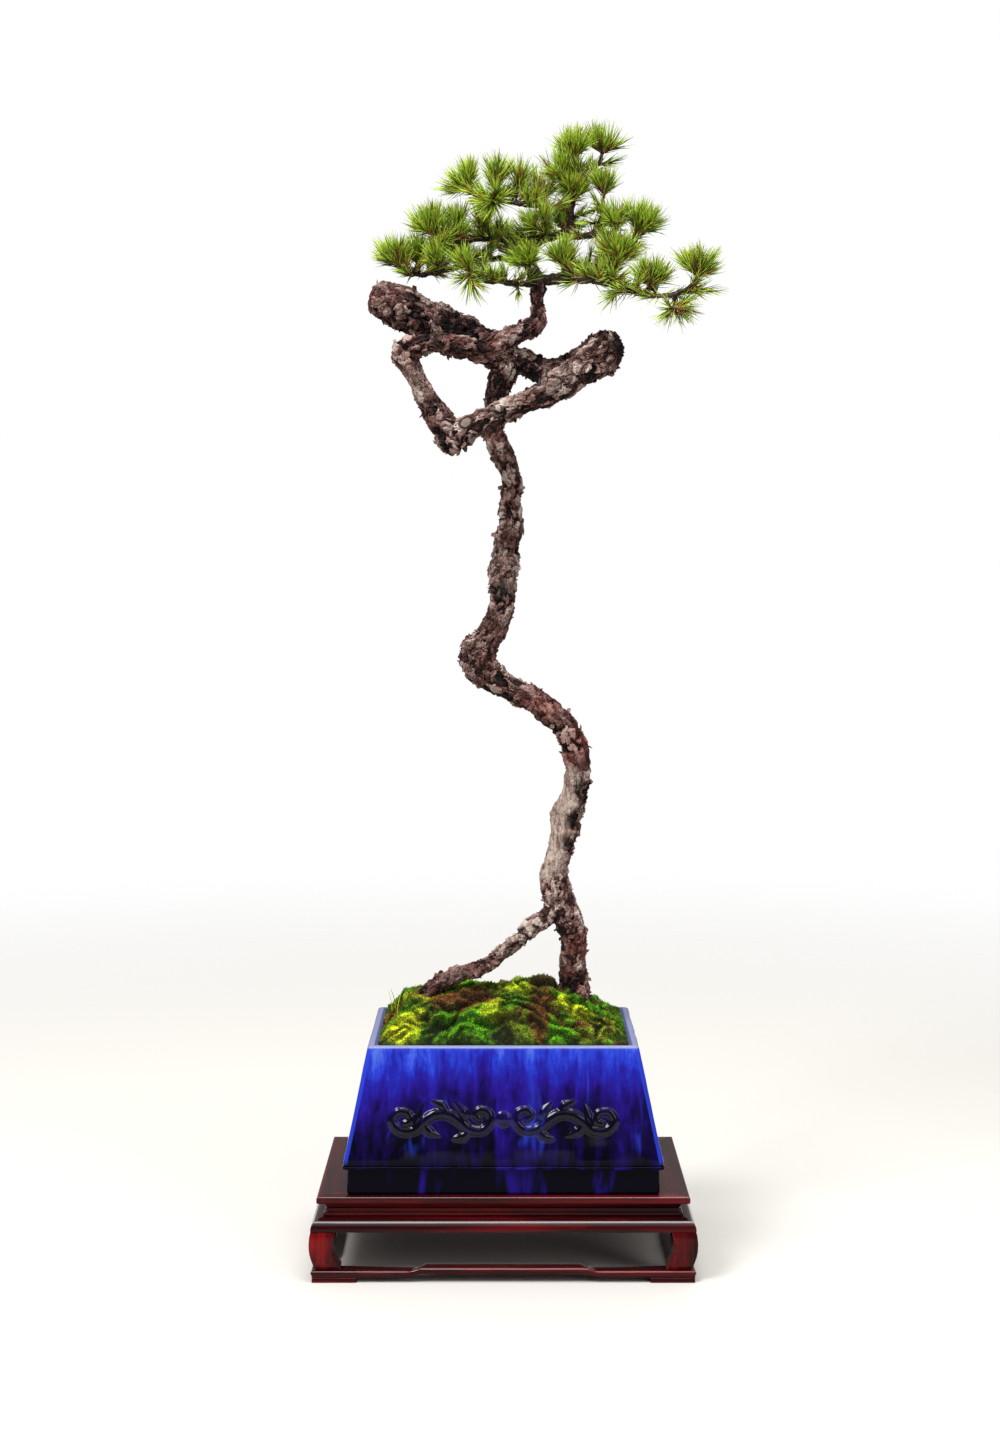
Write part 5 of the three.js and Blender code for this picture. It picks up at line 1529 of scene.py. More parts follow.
class Tint(Enum):
    """The colours of the moss and of what lies in it."""

    LIME = colour(206, 216, 40)
    GREEN = colour(94, 164, 24)
    OLIVE = colour(140, 142, 40)
    DEEP = colour(68, 96, 16)
    RUST = colour(118, 68, 36)
    EARTH = colour(78, 50, 34)
    STRAW = colour(196, 116, 52)

    def rgb(self) -> Array:
        """Returns the colour without its last part."""
        return np.array(self.value[:3])


@dataclass(frozen=True)
class MossPatch:
    """A patch of one tint on the mound, by its middle and its half sizes."""

    tint: Tint
    x: float
    y: float
    half_width: float
    half_depth: float
    strength: float = 1.0


MOSS_PATCHES = [
    MossPatch(Tint.LIME, -90, -58, 28, 16, 0.9),
    MossPatch(Tint.GREEN, -100, -36, 16, 16, 0.7),
    MossPatch(Tint.LIME, -72, -20, 24, 16, 0.9),
    MossPatch(Tint.GREEN, -56, -64, 22, 12, 0.8),
    MossPatch(Tint.GREEN, -24, -64, 18, 12),
    MossPatch(Tint.RUST, -34, -32, 38, 19, 0.95),
    MossPatch(Tint.LIME, -8, -50, 18, 9, 0.5),
    MossPatch(Tint.OLIVE, 10, -60, 20, 16, 0.5),
    MossPatch(Tint.RUST, 34, -48, 12, 30, 0.9),
    MossPatch(Tint.LIME, 14, -16, 22, 12, 0.6),
    MossPatch(Tint.GREEN, 58, -62, 16, 14),
    MossPatch(Tint.LIME, 64, -40, 20, 10, 0.8),
    MossPatch(Tint.RUST, 84, -54, 22, 6, 0.7),
    MossPatch(Tint.OLIVE, 84, -66, 18, 8, 0.7),
    MossPatch(Tint.LIME, 96, -40, 14, 10, 0.7),
    MossPatch(Tint.EARTH, 40, -12, 20, 14, 0.9),
    MossPatch(Tint.RUST, -108, -16, 8, 12, 0.8),
    MossPatch(Tint.OLIVE, 30, 40, 40, 20, 0.7),
    MossPatch(Tint.LIME, -50, 46, 34, 18, 0.6),
    MossPatch(Tint.GREEN, 86, 30, 24, 30, 0.7),
    MossPatch(Tint.RUST, -4, 22, 20, 12, 0.6),
]


@dataclass
class Moss:
    """The cushions of moss that cover the planted mound."""

    rim: float = 209.5
    height: float = 37
    edge_lift: float = 2
    half_width: float = 111.3
    half_depth: float = 73.8
    left_power: float = 5
    right_power: float = 2.6
    depth_power: float = 2.4
    thickness: float = 8
    cell: float = 1.3
    breadth: float = 1.55
    shear: float = 0.35
    heaps: tuple = ((34, -10, 13, 7), (-84, -25, 9, 5))
    cushion: float = 24
    cushion_rise: float = 8
    wave: float = 12
    wave_rise: float = 6.5
    wave_bend: float = 0.4
    ruffle: float = 5.5
    ruffle_rise: float = 2
    drawn_out: float = 0.4
    middle_wave: float = 0.35
    least_wave: float = 0.004
    least_slope: float = 0.05
    rim_share: float = 0.004
    swell: float = 26
    swell_rise: float = 3.2
    patch_wobble: float = 6
    wobble_size: float = 9
    tone_size: float = 16
    fleck_size: float = 5
    dry_size: float = 20
    hollow_size: float = 30
    stalks: int = 22
    tall_stalks: int = 3
    tall_stalk: float = 22
    frond_density: float = 700000.0
    frond_height: float = 2.2
    frond_width: float = 0.5
    frond_swing: tuple = (0.6, 0.6, 3.14)
    frond_sizes: tuple = ((0.8, 0.8, 0.5), (1.3, 1.3, 1.2))
    seed: int = 6

    def mound(self, x: Array, y: Array) -> Array:
        """Returns the height of the planted mound before its cushions."""
        power = np.where(x < 0, self.left_power, self.right_power)
        across = np.minimum(1, np.abs(x) / self.half_width) ** power
        deep = np.minimum(1, np.abs(y) / self.half_depth) ** self.depth_power
        level = self.rim + self.edge_lift + self.height * (1 - across) * (1 - deep)
        for heap_x, heap_y, reach, rise in self.heaps:
            level = level + rise * np.exp(-((x - heap_x) ** 2 + (y - heap_y) ** 2) / reach**2)
        return level

    def domes(self, x: Array, y: Array, size: float, seed: int) -> tuple[Array, Array]:
        """Rounded cushions with sharp folds between them.

        Args:
            x: Places across the mound.
            y: Places along its depth.
            size: The usual width of a cushion.
            seed: Picks the pattern.

        Returns:
            How high each place stands on its cushion, from 0 to 1, and how near it is to a fold.
        """
        random = np.random.default_rng(seed)
        count = int(2 * self.half_width * (2 * self.half_depth + self.shear * self.half_width) / size**2)
        far_y = self.half_depth + self.shear * self.half_width
        seeds = random.uniform((-self.half_width, -self.half_depth), (self.half_width, far_y), (count, 2))
        swing = 0.5 * size
        flat = np.stack([x, y, np.zeros_like(x)], axis=1)
        bent_x = x + swing * layered_noise(flat, size, seed + 1, 2)
        bent_y = y + self.shear * np.abs(x) + swing * layered_noise(flat, size, seed + 2, 2)
        best = np.full(len(x), FAR_AWAY)
        second = best
        for place in seeds:
            far = np.hypot((bent_x - place[0]) / self.breadth, (bent_y - place[1]) * self.breadth)
            second = np.minimum(second, np.maximum(best, far))
            best = np.minimum(best, far)
        fold = 1 - smooth_share(second - best, 0, 0.34 * size)
        dome = np.sqrt(np.clip(1 - (best / (1.15 * size)) ** 2, 0, 1))
        return dome * (1 - 0.6 * fold), fold

    def ridges(self, flat: Array, size: float) -> Array:
        """Returns the height of drawn-out ridges, which is near 0 in the folds between them."""
        x, y, z = flat.T
        drawn = np.stack([x * self.drawn_out, y + self.shear * np.abs(x), z], axis=1)
        bend = self.wave_bend * self.wave
        bends = [bend * layered_noise(flat, self.wave, self.seed + 70 + part, 2) for part in range(3)]
        ridge = layered_noise(drawn + np.stack(bends, axis=1), size, self.seed + 60, 2)
        return np.sqrt(ridge**2 + self.least_wave)

    def draped(self, flat: Array, raised: Array, grid: Grid) -> tuple[Array, Array]:
        """Lays the cushions over the mound.

        Args:
            flat: Places on the mound, seen from above.
            raised: How far the cushions stand off it.
            grid: The grid that the places form.

        Returns:
            The places on the cushions, and how steeply each one climbs with the mound.
        """
        x, y = flat[:, 0], flat[:, 1]
        slope_x = (self.mound(x + 1, y) - self.mound(x - 1, y)) / 2
        slope_y = (self.mound(x, y + 1) - self.mound(x, y - 1)) / 2
        steep_y, steep_x = np.gradient(raised.reshape(grid.rows + 1, grid.columns + 1), self.cell)
        rise = steep_x.ravel() * slope_x + steep_y.ravel() * slope_y
        climb = -rise / (np.hypot(slope_x, slope_y) + self.least_slope)
        edge = np.maximum(np.abs(x) / self.half_width, np.abs(y) / self.half_depth)
        room = np.clip(4 * (1 - edge) + 0.3, 0, 1)
        normal = np.stack([-slope_x, -slope_y, np.ones_like(x)], axis=1)
        normal /= np.linalg.norm(normal, axis=1)[:, None]
        normal[:, :2] *= (room * (1 - edge > self.rim_share))[:, None]
        return np.stack([x, y, self.mound(x, y)], axis=1) + normal * (raised * room)[:, None], climb

    def build(self, moss: Material) -> None:
        """Adds the moss, its fronds and its stalks."""
        grid = Grid(int(2 * self.half_width / self.cell), int(2 * self.half_depth / self.cell))
        across, deep = np.meshgrid(np.linspace(-1, 1, grid.columns + 1), np.linspace(-1, 1, grid.rows + 1))
        x, y = (across * self.half_width).ravel(), (deep * self.half_depth).ravel()
        flat = np.stack([x, y, np.zeros_like(x)], axis=1)
        cushions, folds = self.domes(x, y, self.cushion, self.seed)
        waves, ruffles = self.ridges(flat, self.wave), self.ridges(flat, self.ruffle)
        raised = self.cushion_rise * (cushions - 0.7)
        raised += self.swell_rise * lattice_noise(flat, self.swell, self.seed + 9)
        raised += self.wave_rise * (waves - self.middle_wave)
        raised += self.ruffle_rise * (ruffles - self.middle_wave)
        upper, climb = self.draped(flat, raised, grid)
        under = np.minimum(self.mound(x, y) - self.thickness + GAP, upper[:, 2] - 1)
        mesh = grid.slab(upper, np.stack([x, y, under], axis=1)).mesh("moss_cushions")
        patchy = smooth_share(layered_noise(flat, self.hollow_size, self.seed + 80, 2), -0.5, 0.35)
        dips = 1 - smooth_share(waves, 0.06, 0.36)
        # Painted shade: the folds and the dips between the ridges darken towards the moss's shade colour,
        # most where the patchy noise is high; fewer fronds grow there too.
        hollow_shade = np.clip(0.9 * folds**1.3 * patchy + 0.8 * dips**1.5 * lerp(0.35, 1, patchy), 0, 1)
        dry = smooth_share(lattice_noise(flat, self.dry_size, self.seed + 81), -0.1, 0.5)
        browned = 0.75 * (1 - smooth_share(waves, 0.1, 0.5)) * dry
        tint = lerp(self.tints(flat), Tint.RUST.rgb(), browned[:, None])
        # Painted light: the tops of the cushions and the crests of the ridges are lightened and their lower
        # sides darkened.
        tint = tint * lerp(0.72, 1.1, smooth_share(cushions + 0.6 * waves, 0.35, 1.2))[:, None]
        # Painted light and shade: faces that turn down the mound's slope are darker and faces that lie
        # flatter are lighter, as if lit from above.
        tint = tint * lerp(0.32, 1.6, smooth_share(climb, -0.7, 0.55))[:, None]
        self._store_both(mesh, tint, hollow_shade)
        ground = Draft(upper, grid.faces()).mesh("frond_ground")
        self._store_both(ground, tint, hollow_shade)
        add_piece("moss_cushions", mesh, [moss], ["moss"])
        add_piece("moss_fronds", self.fronds(ground, moss), [])
        add_piece("moss_stalks", self.stalk_mesh(), [moss])

    def stalk_mesh(self) -> Mesh:
        """Returns the thin stalks and dry bits that stand out of the moss at its left."""
        random = np.random.default_rng(self.seed + 90)
        stalks, tints = [], []
        for number in range(self.stalks):
            x, y = random.uniform((-110, -52), (-96, 4))
            is_tall = number < self.tall_stalks
            tall = self.tall_stalk if is_tall else random.uniform(3, 8)
            lean_x, lean_y = random.normal(size=2) * 0.22 * tall
            z = float(self.mound(x, y))
            path = [(x, y, z - 2, 0.42), (x + 0.3 * lean_x, y + 0.3 * lean_y, z + 0.5 * tall, 0.34),
                    (x + lean_x, y + lean_y, z + tall, 0.16)]
            stalks.append(swept(stations_along(path, 2), 5))
            shade = Tint.LIME if is_tall else Tint.STRAW
            tints.append(np.tile(shade.rgb(), (len(stalks[-1].points), 1)))
        mesh = joined(stalks).mesh("moss_stalks")
        self._store_both(mesh, np.vstack(tints), np.zeros(len(mesh.vertices)))
        return mesh

    @staticmethod
    def _store_both(mesh: Mesh, tint: Array, hollow_shade: Array) -> None:
        """Stores the tint and the painted hollow shade on the top points, and no tint with full painted
        shade on any others.
        """
        others = len(mesh.vertices) - len(hollow_shade)
        store(mesh, "tint", np.vstack([tint, np.zeros((others, 3))]))
        store(mesh, "hollow_shade", np.concatenate([hollow_shade, np.ones(others)]))

    def tints(self, flat: Array) -> Array:
        """Returns the colour of the moss at each place."""
        wobbles = (layered_noise(flat, self.wobble_size, self.seed + 30 + part, 2) for part in range(2))
        x, y = (flat[:, part] + self.patch_wobble * wobble for part, wobble in enumerate(wobbles))
        share = np.clip(0.5 + 0.5 * layered_noise(flat, self.tone_size, self.seed + 40, 2), 0, 1)[:, None]
        result = lerp(Tint.DEEP.rgb(), Tint.GREEN.rgb(), share)
        for patch in MOSS_PATCHES:
            far = np.hypot((x - patch.x) / patch.half_width, (y - patch.y) / patch.half_depth)
            weight = patch.strength * (1 - smooth_share(far, 0.6, 1.15))[:, None]
            result = lerp(result, patch.tint.rgb(), weight)
        return result * (1 + 0.25 * lattice_noise(flat, self.fleck_size, self.seed + 50))[:, None]

    def fronds(self, ground: Mesh, moss: Material) -> Mesh:
        """Returns the small pointed fronds that stand all over the moss."""
        inputs = {"Fronds per square metre": self.frond_density, "Frond height": self.frond_height * MM,
                  "Frond width": self.frond_width * MM, "Seed": self.seed, "Finish": None}
        recipe = Recipe("moss_fronds", inputs)
        open_share = 1 - recipe.stored("hollow_shade") * 0.8
        density = recipe.given("Fronds per square metre") * open_share
        cone = {"Vertices": 3, "Radius Top": 0.0, "Radius Bottom": recipe.given("Frond width"),
                "Depth": recipe.given("Frond height")}
        recipe.scatter(density, cone, self.frond_swing, self.frond_sizes, 1.0)
        return recipe.run(ground, {"Finish": moss})


# The pot


@dataclass
class Pot:
    """The glazed pot: wider at its foot than at its rim, with a ledge, a plinth and a low relief."""

    rim_z: float = 209.5
    rim_half_width: float = 121
    rim_half_depth: float = 83.6
    ledge_z: float = 103.5
    ledge_half_width: float = 144
    ledge_half_depth: float = 96.6
    ledge_thickness: float = 3
    foot_half_width: float = 140
    foot_half_depth: float = 91.5
    foot_ring: float = 12
    bottom: float = 76.5 + GAP
    floor_under: float = 82
    floor: float = 92
    wall: float = 9
    corner: float = 3.5
    drain_radius: float = 11
    drain_x: float = 62
    drain_overrun: float = 6
    drain_sides: int = 32
    foot_rows: int = 8
    ledge_rows: int = 9
    low_rows: int = 12
    band_rows: int = 41
    high_rows: int = 22
    rim_rows: int = 11
    inner_rows: int = 14
    front_columns: int = 260
    side_columns: int = 50
    back_columns: int = 100
    corner_columns: int = 5
    ledge_settle: float = 0.8
    lip_rise: float = 1.9
    wave: float = 24
    wave_rise: float = 0.45
    band_middle: float = 146
    band_bottom: float = 128
    band_top: float = 164
    band_margin: float = 2
    sharp_angle: float = 70
    stroke_steps: int = 10
    stroke_radii: tuple = (3.6, 5.4, 3.4)
    leaf_radii: tuple = (3.4, 4.6, 1.4)
    pearl_radius: float = 7.5

    STROKE = ((22, 0), (25, 4), (20, 8), (13, 5), (12, -3), (19, -10), (30, -9), (39, -2), (49, 4), (61, 4),
              (71, -2), (80, -10), (92, -10), (99, -2), (94, 6), (85, 5), (83, -2), (88, -4))

    LEAVES = (((30, -9), (36, -15), (45, -17)), ((50, 4), (55, 12), (64, 16)),
              ((72, -3), (66, -11), (57, -15)), ((36, -4), (36, 6), (43, 15)),
              ((80, -10), (76, 2), (72, 13)))

    def half_sizes(self, z: Any) -> tuple[Any, Any]:
        """Returns the outer half width and depth at one height or several, between the ledge and the rim."""
        share = (z - self.ledge_z) / (self.rim_z - self.ledge_z)
        return (lerp(self.ledge_half_width, self.rim_half_width, share),
                lerp(self.ledge_half_depth, self.rim_half_depth, share))

    def sections(self) -> list[tuple[float, float, float]]:
        """Returns each ring's half width, half depth and height, from the underside to the floor inside."""
        foot_x, foot_y = self.foot_half_width, self.foot_half_depth
        recess_x, recess_y = foot_x - self.foot_ring, foot_y - self.foot_ring
        foot_top = self.ledge_z - self.ledge_thickness
        rings = [(recess_x, recess_y, self.floor_under), (recess_x, recess_y, self.bottom + 0.6),
                 (recess_x + 0.6, recess_y + 0.6, self.bottom)]
        rings += [(foot_x - inset, foot_y - inset, self.bottom + rise)
                  for inset, rise in ((1.4, 0), (0.5, 0.4), (0.0, 1.4))]
        rings += [(foot_x, foot_y, z) for z in np.linspace(self.bottom + 3, foot_top - 0.8, self.foot_rows)]
        rings.append((foot_x + 0.4, foot_y + 0.6, foot_top - 0.1))
        half = self.ledge_thickness / 2
        edge_x, edge_y = self.ledge_half_width - half, self.ledge_half_depth - half
        rings += [(edge_x + half * cosine, edge_y + half * cosine, self.ledge_z - half + half * sine)
                  for cosine, sine in arc(-80, 90, self.ledge_rows)]
        below, above = self.band_bottom - self.band_margin, self.band_top + self.band_margin
        walls = [*np.linspace(self.ledge_z + 1.2, below, self.low_rows),
                 *np.linspace(self.band_bottom, self.band_top, self.band_rows),
                 *np.linspace(above, self.rim_z - 2, self.high_rows)]
        for index, z in enumerate(walls):
            width, depth = self.half_sizes(z)
            settle = self.ledge_settle * math.exp(-index)
            rings.append((width - settle, depth - settle, z))
        for cosine, sine in arc(15, 165, self.rim_rows):
            back = self.wall / 2 * (1 - cosine)
            rise = self.lip_rise * sine**0.6 - self.lip_rise
            rings.append((self.rim_half_width - back, self.rim_half_depth - back, self.rim_z + rise))
        for z in np.linspace(self.rim_z - 2.5, self.floor + 2, self.inner_rows):
            width, depth = self.half_sizes(z)
            rings.append((width - self.wall, depth - self.wall, z))
        width, depth = self.half_sizes(self.floor)
        rings.append((width - self.wall - 1.5, depth - self.wall - 1.5, self.floor))
        return rings

    def columns(self) -> tuple[Array, ...]:
        """Returns each column's place as signs, the way that it faces and whether it is at a corner."""
        spots = []
        corners = [(1, -1), (1, 1), (-1, 1), (-1, -1)]
        counts = (self.side_columns, self.back_columns, self.side_columns, self.front_columns)
        for quarter, ((sign_x, sign_y), count) in enumerate(zip(corners, counts)):
            next_x, next_y = corners[(quarter + 1) % 4]
            turn = 90 * quarter
            spots += [(sign_x, sign_y, *way, 1.0) for way in arc(turn - 90, turn, self.corner_columns)]
            way = next(arc(turn, turn, 1))
            for share in np.linspace(0, 1, count + 2)[1:-1]:
                spots.append((lerp(sign_x, next_x, share), lerp(sign_y, next_y, share), *way, 0.0))
        return tuple(np.array(part) for part in zip(*spots))

    def build(self, glaze: Material) -> None:
        """Adds the pot."""
        sign_x, sign_y, cosine, sine, at_corner = self.columns()
        rings = []
        for half_width, half_depth, z in self.sections():
            x = sign_x * (half_width - self.corner) + self.corner * cosine
            y = sign_y * (half_depth - self.corner) + self.corner * sine
            rings.append(np.stack([x, y, np.full_like(x, z)], axis=1))
        rings = np.array(rings)
        points = rings.reshape(-1, 3)
        outward = np.stack([np.tile(cosine, len(rings)), np.tile(sine, len(rings))], axis=1)
        corner_share = np.tile(at_corner, len(rings))
        half_width, half_depth = self.half_sizes(points[:, 2])
        inset = np.minimum(half_width - np.abs(points[:, 0]), half_depth - np.abs(points[:, 1]))
        is_outer = (inset < 3) & (points[:, 2] > self.ledge_z - 4)
        waves = self.wave_rise * layered_noise(points, self.wave, 3, 2) * np.where(is_outer, 1, 0.2)
        on_front = is_outer & (points[:, 1] < 0) & (outward[:, 1] < -0.99)
        relief = np.zeros(len(points))
        relief[on_front] = self.relief_height(points[on_front])
        moved = points.copy()
        moved[:, :2] += outward * (waves + relief)[:, None]
        near_ledge = np.exp(-((points[:, 2] - self.ledge_z + 1.5) / 3) ** 2)
        moved[:, 2] += 0.5 * near_ledge * layered_noise(points, 18, 8, 2)
        mesh = loft(moved.reshape(rings.shape)).mesh("pot_body")
        store(mesh, "relief", smooth_share(relief, 0.1, 1.2))
        edge = corner_share * smooth_share(points[:, 2], self.ledge_z, self.ledge_z + 6) * is_outer
        store(mesh, "edge", edge)
        top = smooth_share(points[:, 2], self.rim_z - 2.2, self.rim_z - 0.9)
        near_outside = inset < 5
        store(mesh, "lip", top * np.where(near_outside, 0.85, 0.25))
        store(mesh, "inside", np.where(near_outside | (points[:, 2] < self.ledge_z), 0.0, 1.0))
        mesh = self.with_drain_holes(mesh)
        mesh.set_sharp_from_angle(angle=math.radians(self.sharp_angle))
        add_piece("pot_body", mesh, [glaze], ["pot"])

    def relief_height(self, points: Array) -> Array:
        """Returns how far the scrolls, their leaves and the pearl stand out at places on the front."""
        height = np.zeros(len(points))
        across, up = np.abs(points[:, 0]), points[:, 2] - self.band_middle
        strokes = [(self.STROKE, self.stroke_radii), *((leaf, self.leaf_radii) for leaf in self.LEAVES)]
        for stroke, radii in strokes:
            places = np.array([(*place, 0.0) for place in stroke])
            line = spline(places, [self.stroke_steps] * (len(stroke) - 1))
            reach = np.interp(np.linspace(0, 1, len(line)), (0, 0.5, 1), radii)
            for (line_across, line_up, _), radius in zip(line, reach):
                share = 1 - ((across - line_across) ** 2 + (up - line_up) ** 2) / radius**2
                height = np.maximum(height, 0.62 * radius * np.maximum(share, 0) ** 0.8)
        share = 1 - (across**2 + up**2) / self.pearl_radius**2
        return np.maximum(height, 0.4 * self.pearl_radius * np.maximum(share, 0) ** 0.7)

    def with_drain_holes(self, mesh: Mesh) -> Mesh:
        """Returns the pot with its two drain holes cut."""
        work = loose_object("pot_work", mesh)
        tools = []
        for side in (-1, 1):
            heights = (self.floor_under - self.drain_overrun, self.floor + self.drain_overrun)
            stem = [(side * self.drain_x, 0, z, self.drain_radius) for z in heights]
            drill = swept(stations_along(stem, 30), self.drain_sides)
            tool = loose_object("drain_tool", drill.mesh("drain_tool"))
            tools.append(tool)
            cut = work.modifiers.new("drain", "BOOLEAN")
            cut.operation = "DIFFERENCE"
            cut.solver = "MANIFOLD"
            cut.object = tool
        result = applied_mesh(work)
        for tool in tools:
            bpy.data.objects.remove(tool)
        return result


# The stand


@dataclass
class Stand:
    """The stand: a framed top, a waist, bulging aprons, drum-shaped legs and a base frame on four feet."""

    height: float = 76.5
    top_half_width: float = 166.8
    top_half_depth: float = 98
    frame_width: float = 30
    lip: float = 5.5
    frame_underside: float = 64.5
    tongue: float = 6
    tongue_top: float = 73.3
    tongue_bottom: float = 68.5
    waist_half_width: float = 158
    waist_half_depth: float = 89.2
    waist_thickness: float = 8
    bead_top: float = 60.6
    bead_proud: float = 3
    apron_top: float = 57.2
    apron_bottom: float = 46
    apron_proud: float = 14
    apron_step: float = 3.5
    shoulder_start: float = 3.5
    shoulder_drop: float = 9
    leg_width: float = 22
    leg_waist: float = 0.06
    leg_bulge: float = 15.2
    leg_foot_proud: float = 10
    base_half_width: float = 172
    base_half_depth: float = 103.2
    base_rail_width: float = 16
    base_rail_top: float = 10.6
    hump_rise: float = 2.7
    hump_half_share: float = 0.5
    hump_run: float = 12
    foot_height: float = 4.5
    foot_length: float = 40
    foot_inset: float = 0.8
    softening: float = 0.55
    sharp_angle: float = 50
    leg_softening: float = 1.3
    foot_softening: float = 1.0

    LEVEL = ((-1, 0), (1, 0))
    SIDES = ("front", "right", "back", "left")
    CORNERS = (("front_left", -1, -1), ("front_right", 1, -1), ("back_right", 1, 1), ("back_left", -1, 1))

    @staticmethod
    def softened(profile: Sequence[tuple], reach: float, steps: int) -> Array:
        """Returns a closed outline with each corner rounded a little."""
        outline = np.array(profile, dtype=float)
        rows = []
        for index, corner in enumerate(outline):
            before, after = outline[index - 1] - corner, outline[(index + 1) % len(outline)] - corner
            room = min(np.linalg.norm(before), np.linalg.norm(after)) * 0.45
            size = min(reach, room)
            start = corner + before / np.linalg.norm(before) * size
            end = corner + after / np.linalg.norm(after) * size
            for share in np.linspace(0, 1, steps + 1):
                rows.append(lerp(lerp(start, corner, share), lerp(corner, end, share), share))
        return np.array(rows)

    def rail(self, half_long: float, half_deep: float, profile: Sequence[tuple],
             lifts: Sequence[tuple]) -> Draft:
        """A rail with mitred ends along the front of a rectangle.

        Args:
            half_long: Half the rectangle's length.
            half_deep: Half its depth.
            profile: Outward distances and heights.
            lifts: Shares of the length and how far the rail rises there.

        Returns:
            The rail.
        """
        outline = self.softened(profile, self.softening, 3)
        rings = []
        for share, lift in lifts:
            x = share * (half_long + outline[:, 0] - GAP / 2)
            rings.append(np.stack([x, -(half_deep + outline[:, 0]), outline[:, 1] + lift], axis=1))
        return loft(np.array(rings))

    @staticmethod
    def turned(draft: Draft, quarter: int) -> Draft:
        """Returns a draft turned by quarter turns about the middle."""
        cosine, sine = round(math.cos(quarter * math.pi / 2)), round(math.sin(quarter * math.pi / 2))
        x, y, z = draft.points.T
        return Draft(np.stack([cosine * x - sine * y, sine * x + cosine * y, z], axis=1), draft.faces)

    def add_rails(self, name: str, half_width: float, half_depth: float, profile: Sequence[tuple],
                  finishes: dict[Grain, Material], lifts: Sequence[tuple] = LEVEL) -> None:
        """Adds the four rails of one layer."""
        for quarter, side in enumerate(self.SIDES):
            along = quarter % 2 == 0
            sizes = (half_width, half_depth) if along else (half_depth, half_width)
            draft = self.turned(self.rail(*sizes, profile, lifts), quarter)
            grain = Grain.ACROSS if along else Grain.DEEP
            self.add(f"{name}_{side}", draft, finishes[grain])

    def add(self, node: str, draft: Draft, finish: Material) -> None:
        """Adds the wooden piece of one node, with crisp edges."""
        mesh = draft.mesh(f"stand_{node}")
        mesh.set_sharp_from_angle(angle=math.radians(self.sharp_angle))
        add_piece(f"stand_{node}", mesh, [finish], [node])

    def top_profile(self) -> list[tuple[float, float]]:
        """Returns the section of the top frame."""
        height, lip, under, width = self.height, self.lip, self.frame_underside, self.frame_width
        groove = -width + self.tongue
        cove = [(-2 - 5.5 * sine, height - lip - 1.2 - 2.2 * (1 - cosine)) for cosine, sine in arc(0, 90, 6)]
        return [(-1, height), (0, height - 1), (0, height - lip), *cove, (-9.2, under), (-width, under),
                (-width, self.tongue_bottom), (groove, self.tongue_bottom), (groove, self.tongue_top),
                (-width, self.tongue_top), (-width, height)]

    def waist_profile(self) -> list[tuple[float, float]]:
        """Returns the section of a waist board with its bead."""
        bottom = self.apron_top + GAP
        top = self.frame_underside - GAP
        inner = -self.waist_thickness
        middle, reach = (self.bead_top + bottom) / 2, (self.bead_top - bottom) / 2
        bead = [(self.bead_proud - 1 + cosine, middle + reach * sine) for cosine, sine in arc(90, -90, 9)]
        return [(0, top), (0, self.bead_top), *bead, (inner, bottom), (inner, top)]

    def apron_profile(self) -> list[tuple[float, float]]:
        """Returns the section of a bulging apron."""
        inner, top, low, out = -self.waist_thickness, self.apron_top, self.apron_bottom, self.apron_proud
        start, drop, step = self.shoulder_start, self.shoulder_drop, self.apron_step
        shoulder = [(start + (out - start) * sine, top - drop * (1 - cosine))
                    for cosine, sine in arc(0, 90, 12)]
        return [(inner, top), *shoulder, (out, low), (6, low), (6 - step, low + step), (inner, low + step)]

    def base_profile(self) -> list[tuple[float, float]]:
        """Returns the section of a base rail."""
        top, bottom = self.base_rail_top, self.foot_height + GAP
        return [(-1.2, top), (0, top - 1.2), (0, top - 2.8), (-0.8, top - 3.4), (-0.8, bottom),
                (-self.base_rail_width, bottom), (-self.base_rail_width, top)]

    def base_lifts(self) -> list[tuple[float, float]]:
        """Returns how far a base rail rises along its length."""
        inner = self.hump_half_share - self.hump_run / self.base_half_width
        climb = [(lerp(self.hump_half_share, inner, t), self.hump_rise * t * t * (3 - 2 * t))
                 for t in np.linspace(0, 1, 7)]
        left = [(-share, rise) for share, rise in climb]
        return [(-1, 0), *left, *reversed(climb), (1, 0)]

    def leg(self, sign_x: int, sign_y: int) -> Draft:
        """Returns a leg with a bulging outer face and an inner face that curves with it."""
        bottom, top = self.base_rail_top + GAP, self.apron_bottom - GAP
        rings = []
        bulge = self.leg_bulge - (self.leg_foot_proud + self.apron_proud) / 2
        for share in np.linspace(0, 1, 19):
            belly = math.sin(math.pi * share)
            out = lerp(self.leg_foot_proud, self.apron_proud, share) + bulge * belly**0.8
            width = self.leg_width * (1 - self.leg_waist * belly**2)
            far_x, far_y = self.waist_half_width + out, self.waist_half_depth + out
            near_x, near_y = far_x - width, far_y - width
            corners = [(far_x, far_y), (far_x, near_y), (near_x, near_y), (near_x, far_y)]
            outline = self.softened(corners, self.leg_softening, 5)[::-1]
            rings.append(self.corner_ring(outline, lerp(bottom, top, share), sign_x, sign_y))
        return loft(np.array(rings))

    @staticmethod
    def corner_ring(outline: Array, z: float, sign_x: int, sign_y: int) -> Array:
        """Returns an outline of the back right corner, laid at a height in one of the four corners."""
        ring = np.column_stack([sign_x * outline[:, 0], sign_y * outline[:, 1], np.full(len(outline), z)])
        return ring if sign_x * sign_y > 0 else ring[::-1]

